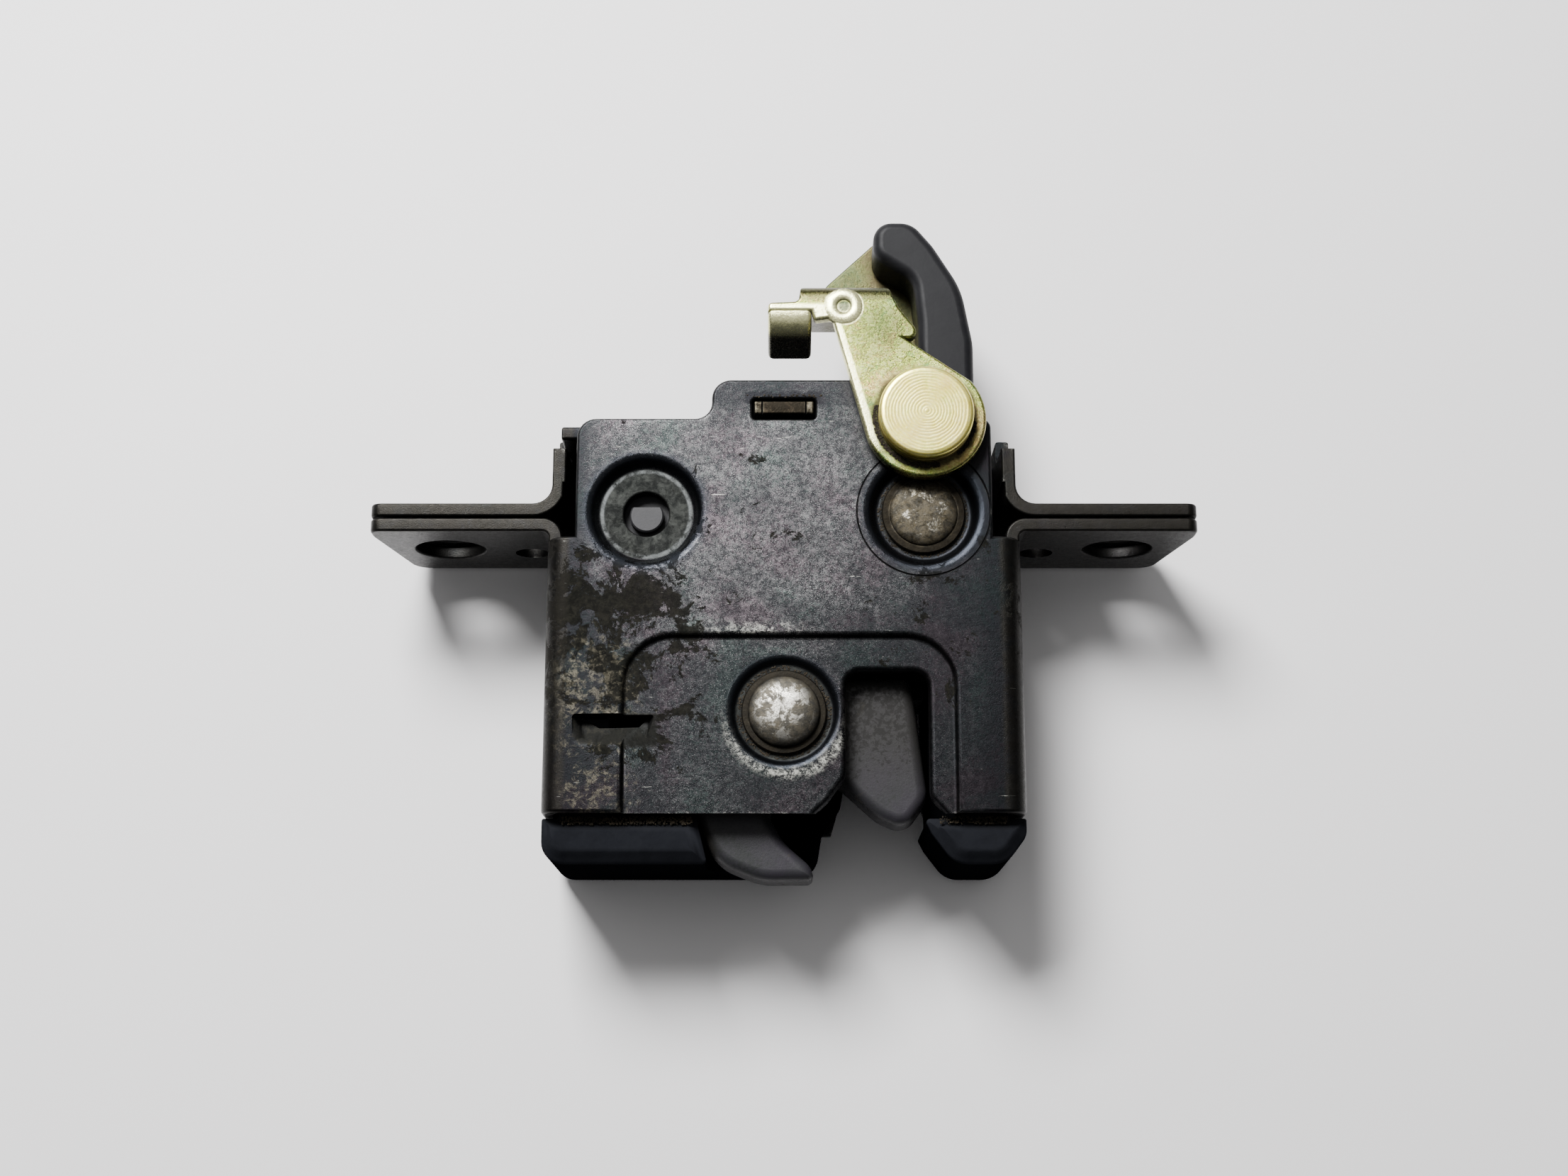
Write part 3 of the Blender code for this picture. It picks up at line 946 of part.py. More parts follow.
def build():
    """Make every piece of the lock."""
    for item in list(bpy.data.objects):
        bpy.data.objects.remove(item)

    black_steel = material("black steel", (0.045, 0.045, 0.052), 0.42, 0.85)
    rivet_steel = material("rivet steel", (0.50, 0.48, 0.44), 0.38, 0.95)
    bare_steel = material("bare steel", (0.35, 0.35, 0.34), 0.35, 0.95)
    spring_steel = material("spring steel", (0.20, 0.20, 0.21), 0.30, 0.95)
    yellow_zinc = material("yellow zinc", (0.62, 0.55, 0.30), 0.30, 0.90)
    grey_plastic = material("grey plastic", (0.11, 0.11, 0.12), 0.55, 0.0)
    pale_plastic = material("pale plastic", (0.34, 0.33, 0.33), 0.60, 0.0)
    black_plastic = material("black plastic", (0.030, 0.030, 0.034), 0.45, 0.0)
    spool_plastic = material("spool plastic", (0.60, 0.58, 0.52), 0.55, 0.0)
    rubber = material("rubber", (0.020, 0.020, 0.020), 0.80, 0.0)

    front_case(black_steel.copy())
    back_case(black_steel.copy())
    striker_guide(black_plastic.copy())
    striker_buffer(rubber)
    spacer_peg(pale_plastic)
    stepped_rivet("fork_pin", FORK_JOURNAL_RADIUS, FORK_PIVOT, RIVET_DOME, rivet_steel.copy())
    stepped_rivet("pawl_pin", PAWL_JOURNAL_RADIUS, PAWL_PIVOT, RIVET_DOME / 2, rivet_steel.copy())

    fork_top = FORK_REAR_Z - GAP
    pawl_top = PAWL_REAR_Z - GAP
    lever_top = REAR_LEVER_REAR_Z - GAP
    spool("fork_bush", FORK_JOURNAL_RADIUS, fork_top, FORK_PIVOT, spool_plastic.copy())
    spool("pawl_bush", PAWL_JOURNAL_RADIUS, pawl_top, PAWL_PIVOT, spool_plastic.copy())
    spool("lever_bush", PIN_RADIUS, lever_top, LEVER_PIVOT, spool_plastic.copy())
    torsion_spring("fork_spring", FORK_JOURNAL_RADIUS, fork_top, FORK_PIVOT, FORK_SPRING,
                   spring_steel.copy())
    torsion_spring("pawl_spring", PAWL_JOURNAL_RADIUS, lever_top, PAWL_PIVOT, PAWL_SPRING,
                   spring_steel.copy(), PAWL_REAR_Z + PAWL_TIP_REACH)
    torsion_spring("lever_spring", PIN_RADIUS, lever_top, LEVER_PIVOT, LEVER_SPRING,
                   spring_steel.copy(), REAR_LEVER_TOP_Z - GAP)
    seat = SEAT_INNER_Z - GAP
    washer("fork_washer", FORK_JOURNAL_RADIUS, FORK_TOP_Z + GAP, seat, FORK_PIVOT, bare_steel.copy())
    washer("pawl_washer", PAWL_JOURNAL_RADIUS, PAWL_TOP_Z + GAP, seat, PAWL_PIVOT, bare_steel.copy())

    joint_axis("fork_axis", FORK_PIVOT, [fork(grey_plastic)])
    joint_axis("pawl_axis", PAWL_PIVOT, [pawl(bare_steel.copy())])
    low = FACE_TOP_Z + LEVER_GAP
    ring = pipe("lever_washer", PIN_RADIUS + LEVER_GAP, LEVER_WASHER_RADIUS,
                low, low + LEVER_WASHER, LEVER_PIVOT)
    joint_axis("lever_axis", LEVER_PIVOT,
               [release_lever(yellow_zinc.copy()), rear_lever(yellow_zinc.copy()),
                horn(black_plastic.copy()), lever_pin(yellow_zinc.copy()), pin_ring(spring_steel.copy()),
                finish(ring, "lever_washer", bare_steel.copy(), LEVER_PIVOT)])


build()
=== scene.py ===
"""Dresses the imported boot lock: plated sheets, rivets, coated fork, gold lever, mouldings and grime."""

import math

import bmesh
import bpy
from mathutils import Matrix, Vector


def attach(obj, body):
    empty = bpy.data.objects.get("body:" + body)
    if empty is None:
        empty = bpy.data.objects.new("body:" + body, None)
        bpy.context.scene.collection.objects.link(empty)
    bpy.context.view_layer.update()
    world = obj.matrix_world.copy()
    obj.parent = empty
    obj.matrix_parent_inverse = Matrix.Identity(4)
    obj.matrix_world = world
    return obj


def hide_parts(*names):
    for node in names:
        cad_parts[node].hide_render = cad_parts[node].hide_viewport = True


bl_info = {
    "name": "Boot lock dresser",
    "version": (1, 0, 0),
    "blender": (4, 5, 0),
    "location": "3D View > Sidebar > Boot lock",
    "description": "Dresses the boot lock in worn plating, plastic and grime, and sets its stage",
    "category": "Object",
}

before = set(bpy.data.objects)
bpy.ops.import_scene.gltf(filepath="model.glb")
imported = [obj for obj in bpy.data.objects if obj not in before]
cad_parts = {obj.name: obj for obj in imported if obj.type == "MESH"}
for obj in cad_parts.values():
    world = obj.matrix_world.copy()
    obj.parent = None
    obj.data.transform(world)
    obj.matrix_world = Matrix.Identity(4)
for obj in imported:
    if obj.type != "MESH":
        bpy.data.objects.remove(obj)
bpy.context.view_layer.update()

# Everything below is drawn in millimetres and made in metres.
MM = 0.001

# Case sheets
SHEET = 1.8
GAP = 0.3
HAIR = 0.01
DEPTH = 24.0
FACE_REAR = DEPTH - SHEET
HALF_WIDTH = 30.5
FACE_HALF = 26.9
BOTTOM = -38.7
RELIEF = -3.0
SHOULDER = 12.9
TAB_TOP = 18.2
TAB_LEFT = -9.4
TAB_RIGHT = 24.3
BEND = 2.6
PANEL_DROP = 0.7
PANEL_Z = DEPTH - PANEL_DROP

# Pivots
FORK_AT = (0.0, -25.8)
PAWL_AT = (18.0, 0.3)
LEVER_AT = (18.2, 12.0)
PEG_AT = (-17.8, 0.3)

# Heights of the moving pieces
FORK_LOW, FORK_TOP = 13.0, 19.5
REAR_ARM_LOW, REAR_ARM_TOP = 11.7, 13.7
ARM_LOW, ARM_TOP = 24.9, 26.7
HEAD_LOW, HEAD_TOP = 26.9, 29.7
HORN_TOP = 21.7
GUIDE_LOW, GUIDE_BASE, PAD_TOP = 2.1, 12.7, 22.0
SEAT_FLOOR = 22.5
SEAT_INNER = 20.7


# Outlines

def polar(radius, angle, centre=(0.0, 0.0)):
    """Point at a radius and an angle in degrees round a centre."""
    turn = math.radians(angle)
    return (centre[0] + radius * math.cos(turn), centre[1] + radius * math.sin(turn))


def arc(centre, radius, start, end, steps=8):
    """Points along an arc, angles in degrees."""
    return [polar(radius, start + (end - start) * i / steps, centre) for i in range(steps + 1)]


def rounded(corners, steps=6):
    """Outline through corners (x, y, radius), each rounded by its own radius."""
    points = []
    count = len(corners)
    for i, (x, y, radius) in enumerate(corners):
        if radius <= 0:
            points.append((x, y))
            continue
        before, after = corners[i - 1], corners[(i + 1) % count]
        to_before = Vector((before[0] - x, before[1] - y))
        to_after = Vector((after[0] - x, after[1] - y))
        half = to_before.angle(to_after) / 2
        run = min(radius / math.tan(half), 0.49 * to_before.length, 0.49 * to_after.length)
        fitted = run * math.tan(half)
        to_before.normalize()
        to_after.normalize()
        centre = Vector((x, y)) + (to_before + to_after).normalized() * (fitted / math.sin(half))
        start = Vector((x, y)) + to_before * run - centre
        end = Vector((x, y)) + to_after * run - centre
        first = math.atan2(start.y, start.x)
        sweep = (math.atan2(end.y, end.x) - first + math.pi) % (2 * math.pi) - math.pi
        for step in range(steps + 1):
            angle = first + sweep * step / steps
            points.append((centre.x + fitted * math.cos(angle), centre.y + fitted * math.sin(angle)))
    return points


def box_outline(left, bottom, right, top, radius=0.0, steps=4):
    """Rectangle with rounded corners."""
    return rounded([(left, bottom, radius), (right, bottom, radius),
                    (right, top, radius), (left, top, radius)], steps)


def mirrored(outline):
    """The same outline on the other side."""
    return [(-x, y) for x, y in reversed(outline)]


def around(centre, outline):
    """Outline drawn round the origin, moved to a pivot."""
    return [(centre[0] + x, centre[1] + y) for x, y in outline]


def turned_left(outline):
    """The outline in anticlockwise order, without doubled points."""
    clean = [p for i, p in enumerate(outline) if math.dist(p, outline[i - 1]) > 1e-4]
    area = sum(a[0] * b[1] - b[0] * a[1] for a, b in zip(clean, clean[1:] + clean[:1]))
    return clean if area > 0 else clean[::-1]


def meeting(first, second):
    """Point where two lines (point, direction) cross."""
    (start, along), (other, across) = first, second
    turn = along.cross(across)
    if abs(turn) < 1e-6:
        return other
    return start + along * ((other - start).cross(across) / turn)


def inset(outline, depth):
    """Outline moved inwards by a depth; edges that shrink to nothing end in one point."""
    if abs(depth) < 1e-6:
        return outline
    lines = []
    for a, b in zip(outline, outline[1:] + outline[:1]):
        along = Vector((b[0] - a[0], b[1] - a[1])).normalized()
        lines.append((Vector(a) + Vector((-along.y, along.x)) * depth, along))
    kept = list(range(len(outline)))
    while True:
        starts = {i: meeting(lines[kept[k - 1]], lines[i]) for k, i in enumerate(kept)}
        ends = {i: starts[kept[(k + 1) % len(kept)]] for k, i in enumerate(kept)}
        lasting = [i for i in kept if (ends[i] - starts[i]).dot(lines[i][1]) > 1e-5]
        if len(lasting) == len(kept) or len(lasting) < 3:
            break
        kept = lasting
    moved, following = [], starts[kept[0]]
    for i in reversed(range(len(outline))):
        following = starts.get(i, following)
        moved.append(tuple(following))
    return moved[::-1]


# Solids

def new_object(name, bm):
    """Object from a bmesh in millimetres, with its faces turned outwards."""
    bmesh.ops.scale(bm, verts=bm.verts, vec=(MM, MM, MM))
    bmesh.ops.recalc_face_normals(bm, faces=bm.faces)
    mesh = bpy.data.meshes.new(name)
    bm.to_mesh(mesh)
    bm.free()
    piece = bpy.data.objects.new(name, mesh)
    bpy.context.scene.collection.objects.link(piece)
    return piece


def stack(name, outline, levels, axis="Z"):
    """Outline drawn again at each level (inset, height), closed at both ends."""
    place = {"X": lambda u, v, w: (w, u, v),
             "Y": lambda u, v, w: (u, w, v),
             "Z": lambda u, v, w: (u, v, w)}[axis]
    outline = turned_left(outline)
    bm = bmesh.new()
    rings = [[bm.verts.new(place(u, v, height)) for u, v in inset(outline, depth)]
             for depth, height in levels]
    count = len(outline)
    for low, high in zip(rings, rings[1:]):
        for i in range(count):
            bm.faces.new((low[i], low[(i + 1) % count], high[(i + 1) % count], high[i]))
    bm.faces.new(rings[0])
    bm.faces.new(rings[-1])
    bmesh.ops.remove_doubles(bm, verts=bm.verts, dist=1e-4)
    return new_object(name, bm)


def slab(name, outline, low, high, low_round=0.0, high_round=0.0, axis="Z", steps=3):
    """Outline extruded along an axis, with its end edges rounded."""
    quarter = [math.pi / 2 * i / steps for i in range(steps + 1)]
    levels = [(low_round * (1 - math.sin(t)), low + low_round * (1 - math.cos(t))) for t in quarter]
    if low_round <= 0:
        levels = [(0.0, low)]
    if high_round > 0:
        levels += [(high_round * (1 - math.sin(t)), high - high_round * (1 - math.cos(t)))
                   for t in reversed(quarter)]
    else:
        levels.append((0.0, high))
    return stack(name, outline, levels, axis)


def turned(name, profile, centre, steps=64, ring=False):
    """Profile of (radius, z) points, bottom to top, turned round an upright axis."""
    bm = bmesh.new()
    corners = [bm.verts.new((radius, 0.0, z)) for radius, z in profile]
    pairs = list(zip(corners, corners[1:])) + ([(corners[-1], corners[0])] if ring else [])
    edges = [bm.edges.new(pair) for pair in pairs]
    bmesh.ops.spin(bm, geom=corners + edges, cent=(0, 0, 0), axis=(0, 0, 1),
                   angle=2 * math.pi, steps=steps, use_merge=True)
    bmesh.ops.remove_doubles(bm, verts=bm.verts, dist=1e-3)
    bmesh.ops.holes_fill(bm, edges=[edge for edge in bm.edges if edge.is_boundary], sides=0)
    bmesh.ops.translate(bm, verts=bm.verts, vec=(centre[0], centre[1], 0.0))
    return new_object(name, bm)


def column(name, radius, low, high, centre, steps=48):
    """Plain upright cylinder."""
    return turned(name, [(radius, low), (radius, high)], centre, steps)


def apply_modifiers(piece):
    """Replace the mesh by its evaluated shape."""
    evaluated = piece.evaluated_get(bpy.context.evaluated_depsgraph_get())
    finished = bpy.data.meshes.new_from_object(evaluated)
    piece.modifiers.clear()
    piece.data = finished


def combine(piece, tools, operation):
    """Join or cut a piece with tools, which are used up."""
    for tool in tools:
        step = piece.modifiers.new("Combine", "BOOLEAN")
        step.operation = operation
        step.solver = "EXACT"
        step.object = tool
        apply_modifiers(piece)
        bpy.data.objects.remove(tool)
    return piece


def join(piece, *tools):
    return combine(piece, tools, "UNION")


def cut(piece, *tools):
    return combine(piece, tools, "DIFFERENCE")


def soften(piece, width, segments=2, angle=60.0):
    """Round the sharp edges of a piece whose corners are clean."""
    step = piece.modifiers.new("Soften", "BEVEL")
    step.width = width * MM
    step.segments = segments
    step.limit_method = "ANGLE"
    step.angle_limit = math.radians(angle)
    step.use_clamp_overlap = False
    apply_modifiers(piece)
    return piece


def finish(piece, name, look, body, replaced=(), sharp=38.0):
    """Name a piece, shade it, give it its look and set it on its body."""
    bm = bmesh.new()
    bm.from_mesh(piece.data)
    bmesh.ops.remove_doubles(bm, verts=bm.verts, dist=2e-6)
    bmesh.ops.dissolve_degenerate(bm, edges=bm.edges, dist=2e-6)
    bm.to_mesh(piece.data)
    bm.free()
    piece.name = piece.data.name = name
    piece.data.materials.clear()
    piece.data.materials.append(look)
    for polygon in piece.data.polygons:
        polygon.material_index = 0
    piece.data.shade_smooth()
    piece.data.set_sharp_from_angle(angle=math.radians(sharp))
    weighted = piece.modifiers.new("Weighted", "WEIGHTED_NORMAL")
    weighted.keep_sharp = True
    apply_modifiers(piece)
    piece.data.name = name
    if replaced:
        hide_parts(*replaced)
    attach(piece, body)
    return piece


# Shader nodes

def node(tree, kind, inputs=None, **settings):
    """Node with its settings and its inputs, which are values or the outputs of other nodes."""
    made = tree.nodes.new(kind)
    for key, value in settings.items():
        setattr(made, key, value)
    for key, value in (inputs or {}).items():
        if isinstance(value, bpy.types.NodeSocket):
            tree.links.new(value, made.inputs[key])
        else:
            made.inputs[key].default_value = value
    return made


def maths(tree, operation, *values, clamp=False):
    """Result of a Math node."""
    made = node(tree, "ShaderNodeMath", dict(enumerate(values)), operation=operation, use_clamp=clamp)
    return made.outputs[0]


def ramp(tree, value, low, high):
    """Value turned to 0 at low and 1 at high, smoothly."""
    made = node(tree, "ShaderNodeMapRange", {"Value": value, "From Min": low, "From Max": high},
                interpolation_type="SMOOTHSTEP")
    return made.outputs["Result"]


def blend(tree, mask, first, second):
    """Colour mixed from the first to the second by a mask."""
    made = node(tree, "ShaderNodeMix", {0: mask, 6: first, 7: second}, data_type="RGBA")
    return made.outputs[2]


def level(tree, mask, first, second):
    """Number mixed from the first to the second by a mask."""
    made = node(tree, "ShaderNodeMix", {0: mask, 2: first, 3: second}, data_type="FLOAT")
    return made.outputs[0]


def noise(tree, place, scale, detail=2.0, roughness=0.5, distortion=0.0):
    """Noise value; the scale counts features per metre."""
    made = node(tree, "ShaderNodeTexNoise", {"Vector": place, "Scale": scale, "Detail": detail,
                                             "Roughness": roughness, "Distortion": distortion})
    return made.outputs[0]


def new_group(name, inputs, outputs):
    """Shader node group with named sockets; gives its tree, its input node and its output node."""
    tree = bpy.data.node_groups.new(name, "ShaderNodeTree")
    for label, kind, value in inputs:
        socket = tree.interface.new_socket(label, in_out="INPUT", socket_type="NodeSocket" + kind)
        socket.default_value = value
    for label, kind in outputs:
        tree.interface.new_socket(label, in_out="OUTPUT", socket_type="NodeSocket" + kind)
    return tree, tree.nodes.new("NodeGroupInput"), tree.nodes.new("NodeGroupOutput")


def object_place(tree):
    """The Object coordinates."""
    return tree.nodes.new("ShaderNodeTexCoord").outputs["Object"]


def make_disc_group():
    """Mask that is 1 within a radius of an upright axis and fades over a softness."""
    tree, given, result = new_group("Disc mask", [
        ("Centre", "Vector", (0.0, 0.0, 0.0)), ("Radius", "Float", 0.005),
        ("Softness", "Float", 0.0005), ("Waver", "Float", 0.0)], [("Mask", "Float")])
    place = object_place(tree)
    offset = node(tree, "ShaderNodeVectorMath", {0: place, 1: given.outputs["Centre"]},
                  operation="SUBTRACT").outputs[0]
    flat = node(tree, "ShaderNodeVectorMath", {0: offset, 1: (1.0, 1.0, 0.0)},
                operation="MULTIPLY").outputs[0]
    distance = node(tree, "ShaderNodeVectorMath", {0: flat}, operation="LENGTH").outputs["Value"]
    rough = maths(tree, "SUBTRACT", noise(tree, place, 700.0, 6.0, 0.7), 0.5)
    distance = maths(tree, "MULTIPLY_ADD", rough, given.outputs["Waver"], distance)
    inner = maths(tree, "SUBTRACT", given.outputs["Radius"], given.outputs["Softness"])
    outer = maths(tree, "ADD", given.outputs["Radius"], given.outputs["Softness"])
    mask = maths(tree, "SUBTRACT", 1.0, ramp(tree, distance, inner, outer))
    tree.links.new(mask, result.inputs["Mask"])
    return tree


def make_patch_group():
    """Ragged patches, as grime and worn plating leave them."""
    tree, given, result = new_group("Ragged patches", [
        ("Scale", "Float", 120.0), ("Amount", "Float", 0.5), ("Softness", "Float", 0.03),
        ("Shift", "Vector", (0.0, 0.0, 0.0))], [("Mask", "Float")])
    place = node(tree, "ShaderNodeVectorMath", {0: object_place(tree), 1: given.outputs["Shift"]},
                 operation="ADD").outputs[0]
    value = noise(tree, place, given.outputs["Scale"], 12.0, 0.76, 0.4)
    threshold = maths(tree, "SUBTRACT", 1.0, given.outputs["Amount"])
    mask = ramp(tree, value, maths(tree, "SUBTRACT", threshold, given.outputs["Softness"]),
                maths(tree, "ADD", threshold, given.outputs["Softness"]))
    tree.links.new(mask, result.inputs["Mask"])
    return tree


def make_grain_group():
    """Fine grain of plated or moulded surfaces, with a height for a bump."""
    tree, given, result = new_group("Fine grain", [
        ("Scale", "Float", 4500.0), ("Contrast", "Float", 1.0)], [("Value", "Float"), ("Height", "Float")])
    place = object_place(tree)
    fine = noise(tree, place, given.outputs["Scale"], 6.0, 0.72)
    coarse = noise(tree, place, maths(tree, "MULTIPLY", given.outputs["Scale"], 0.2), 6.0, 0.7)
    height = maths(tree, "MULTIPLY_ADD", fine, 0.55, maths(tree, "MULTIPLY", coarse, 0.45))
    spread = maths(tree, "MULTIPLY_ADD", maths(tree, "SUBTRACT", height, 0.5),
                   maths(tree, "MULTIPLY", given.outputs["Contrast"], 4.0), 0.5, clamp=True)
    tree.links.new(spread, result.inputs["Value"])
    tree.links.new(height, result.inputs["Height"])
    return tree


def make_scratch_group():
    """Short bright scratches in two directions."""
    tree, given, result = new_group("Scratches", [
        ("Scale", "Float", 260.0), ("Amount", "Float", 0.5)], [("Mask", "Float")])
    place = object_place(tree)
    lines = []
    for turn, shift in ((0.6, 0.0), (-0.9, 0.013), (1.9, 0.027)):
        mapped = node(tree, "ShaderNodeMapping", {"Vector": place, "Location": (shift, shift, 0.0),
                                                  "Rotation": (0.0, 0.0, turn), "Scale": (1.0, 14.0, 3.0)})
        thread = noise(tree, mapped.outputs[0], given.outputs["Scale"], 4.0, 0.7)
        broken = noise(tree, place, maths(tree, "MULTIPLY", given.outputs["Scale"], 1.4), 2.0)
        threshold = maths(tree, "MULTIPLY_ADD", given.outputs["Amount"], -0.16, 0.80)
        thin = ramp(tree, thread, threshold, maths(tree, "ADD", threshold, 0.03))
        lines.append(maths(tree, "MULTIPLY", thin, ramp(tree, broken, 0.45, 0.6)))
    mask = maths(tree, "MAXIMUM", lines[0], maths(tree, "MAXIMUM", lines[1], lines[2]))
    tree.links.new(mask, result.inputs["Mask"])
    return tree


def make_hue_group():
    """Passivated zinc's drift between two hues over a base colour."""
    tree, given, result = new_group("Passivation hues", [
        ("Base", "Color", (0.1, 0.1, 0.1, 1.0)), ("Warm", "Color", (0.1, 0.08, 0.1, 1.0)),
        ("Cool", "Color", (0.08, 0.1, 0.1, 1.0)), ("Scale", "Float", 160.0),
        ("Strength", "Float", 0.6)], [("Color", "Color")])
    place = object_place(tree)
    drift = noise(tree, place, given.outputs["Scale"], 3.0, 0.55, 0.6)
    speck = noise(tree, place, 2600.0, 2.0, 0.5)
    value = maths(tree, "MULTIPLY_ADD", maths(tree, "SUBTRACT", speck, 0.5), 0.5, drift)
    warm = maths(tree, "MULTIPLY", ramp(tree, value, 0.50, 0.66), given.outputs["Strength"])
    cool = maths(tree, "MULTIPLY", ramp(tree, value, 0.46, 0.32), given.outputs["Strength"])
    colour = blend(tree, cool, blend(tree, warm, given.outputs["Base"], given.outputs["Warm"]),
                   given.outputs["Cool"])
    tree.links.new(colour, result.inputs["Color"])
    return tree


def make_edge_group():
    """Outer edges and hollows, from the shape round each point, for the materials to paint wear, dirt,
    highlight and shade on.
    """
    tree, given, result = new_group("Edges and hollows", [
        ("Reach", "Float", 0.0008)], [("Edge", "Float"), ("Hollow", "Float")])
    inside = node(tree, "ShaderNodeAmbientOcclusion", {"Distance": given.outputs["Reach"]},
                  samples=4, inside=True, only_local=True)
    outside = node(tree, "ShaderNodeAmbientOcclusion",
                   {"Distance": maths(tree, "MULTIPLY", given.outputs["Reach"], 2.5)},
                   samples=4, inside=False, only_local=False)
    tree.links.new(maths(tree, "SUBTRACT", 1.0, ramp(tree, inside.outputs["AO"], 0.15, 0.75)),
                   result.inputs["Edge"])
    tree.links.new(maths(tree, "SUBTRACT", 1.0, ramp(tree, outside.outputs["AO"], 0.35, 0.95)),
                   result.inputs["Hollow"])
    return tree


GROUPS = {}


def make_groups():
    """Build every shared node group once."""
    if not GROUPS:
        GROUPS.update(disc=make_disc_group(), patch=make_patch_group(), grain=make_grain_group(),
                      scratch=make_scratch_group(), hue=make_hue_group(), edge=make_edge_group())


def effect(tree, kind, **inputs):
    """Place a shared group in a material; gives its node."""
    made = tree.nodes.new("ShaderNodeGroup")
    made.node_tree = GROUPS[kind]
    for label, value in inputs.items():
        label = label.replace("_", " ")
        if isinstance(value, bpy.types.NodeSocket):
            tree.links.new(value, made.inputs[label])
        else:
            made.inputs[label].default_value = value
    return made


def disc(tree, centre, radius, softness=0.3, waver=0.0):
    """Disc mask from sizes in millimetres."""
    made = effect(tree, "disc", Centre=(centre[0] * MM, centre[1] * MM, 0.0), Radius=radius * MM,
                  Softness=softness * MM, Waver=waver * MM)
    return made.outputs["Mask"]


def ring(tree, centre, inner, outer, softness=0.3, waver=0.0):
    """Ring mask from sizes in millimetres."""
    return maths(tree, "SUBTRACT", disc(tree, centre, outer, softness, waver),
                 disc(tree, centre, inner, softness, waver), clamp=True)


def patches(tree, scale, amount, softness=0.03, shift=0.0):
    return effect(tree, "patch", Scale=scale, Amount=amount, Softness=softness,
                  Shift=(shift, -shift, shift)).outputs["Mask"]


def both(tree, *masks):
    """Where every mask holds."""
    result = masks[0]
    for mask in masks[1:]:
        result = maths(tree, "MULTIPLY", result, mask)
    return result


def either(tree, *masks):
    """Where any mask holds."""
    result = masks[0]
    for mask in masks[1:]:
        result = maths(tree, "MAXIMUM", result, mask)
    return result


def new_material(name, metallic, specular=0.5):
    """Material with its Principled shader; gives the material, its tree and the shader."""
    made = bpy.data.materials.new(name)
    made.use_nodes = True
    shader = made.node_tree.nodes["Principled BSDF"]
    shader.inputs["Metallic"].default_value = metallic
    shader.inputs["Specular IOR Level"].default_value = specular
    return made, made.node_tree, shader


def connect(tree, shader, colour, roughness, height=None, strength=0.3, distance=0.0001, metallic=None):
    """Link the finished colour, roughness and bump to the shader."""
    tree.links.new(colour, shader.inputs["Base Color"])
    tree.links.new(roughness, shader.inputs["Roughness"])
    if metallic is not None:
        tree.links.new(metallic, shader.inputs["Metallic"])
    if height is not None:
        bump = node(tree, "ShaderNodeBump", {"Height": height, "Strength": strength, "Distance": distance})
        tree.links.new(bump.outputs[0], shader.inputs["Normal"])


def solid(red, green, blue):
    return (red, green, blue, 1.0)


# Materials

def painted(tree, base, mask, share, paint):
    """Base colour with a share of a paint laid over it where the mask is."""
    return blend(tree, maths(tree, "MULTIPLY", mask, share), base, paint)


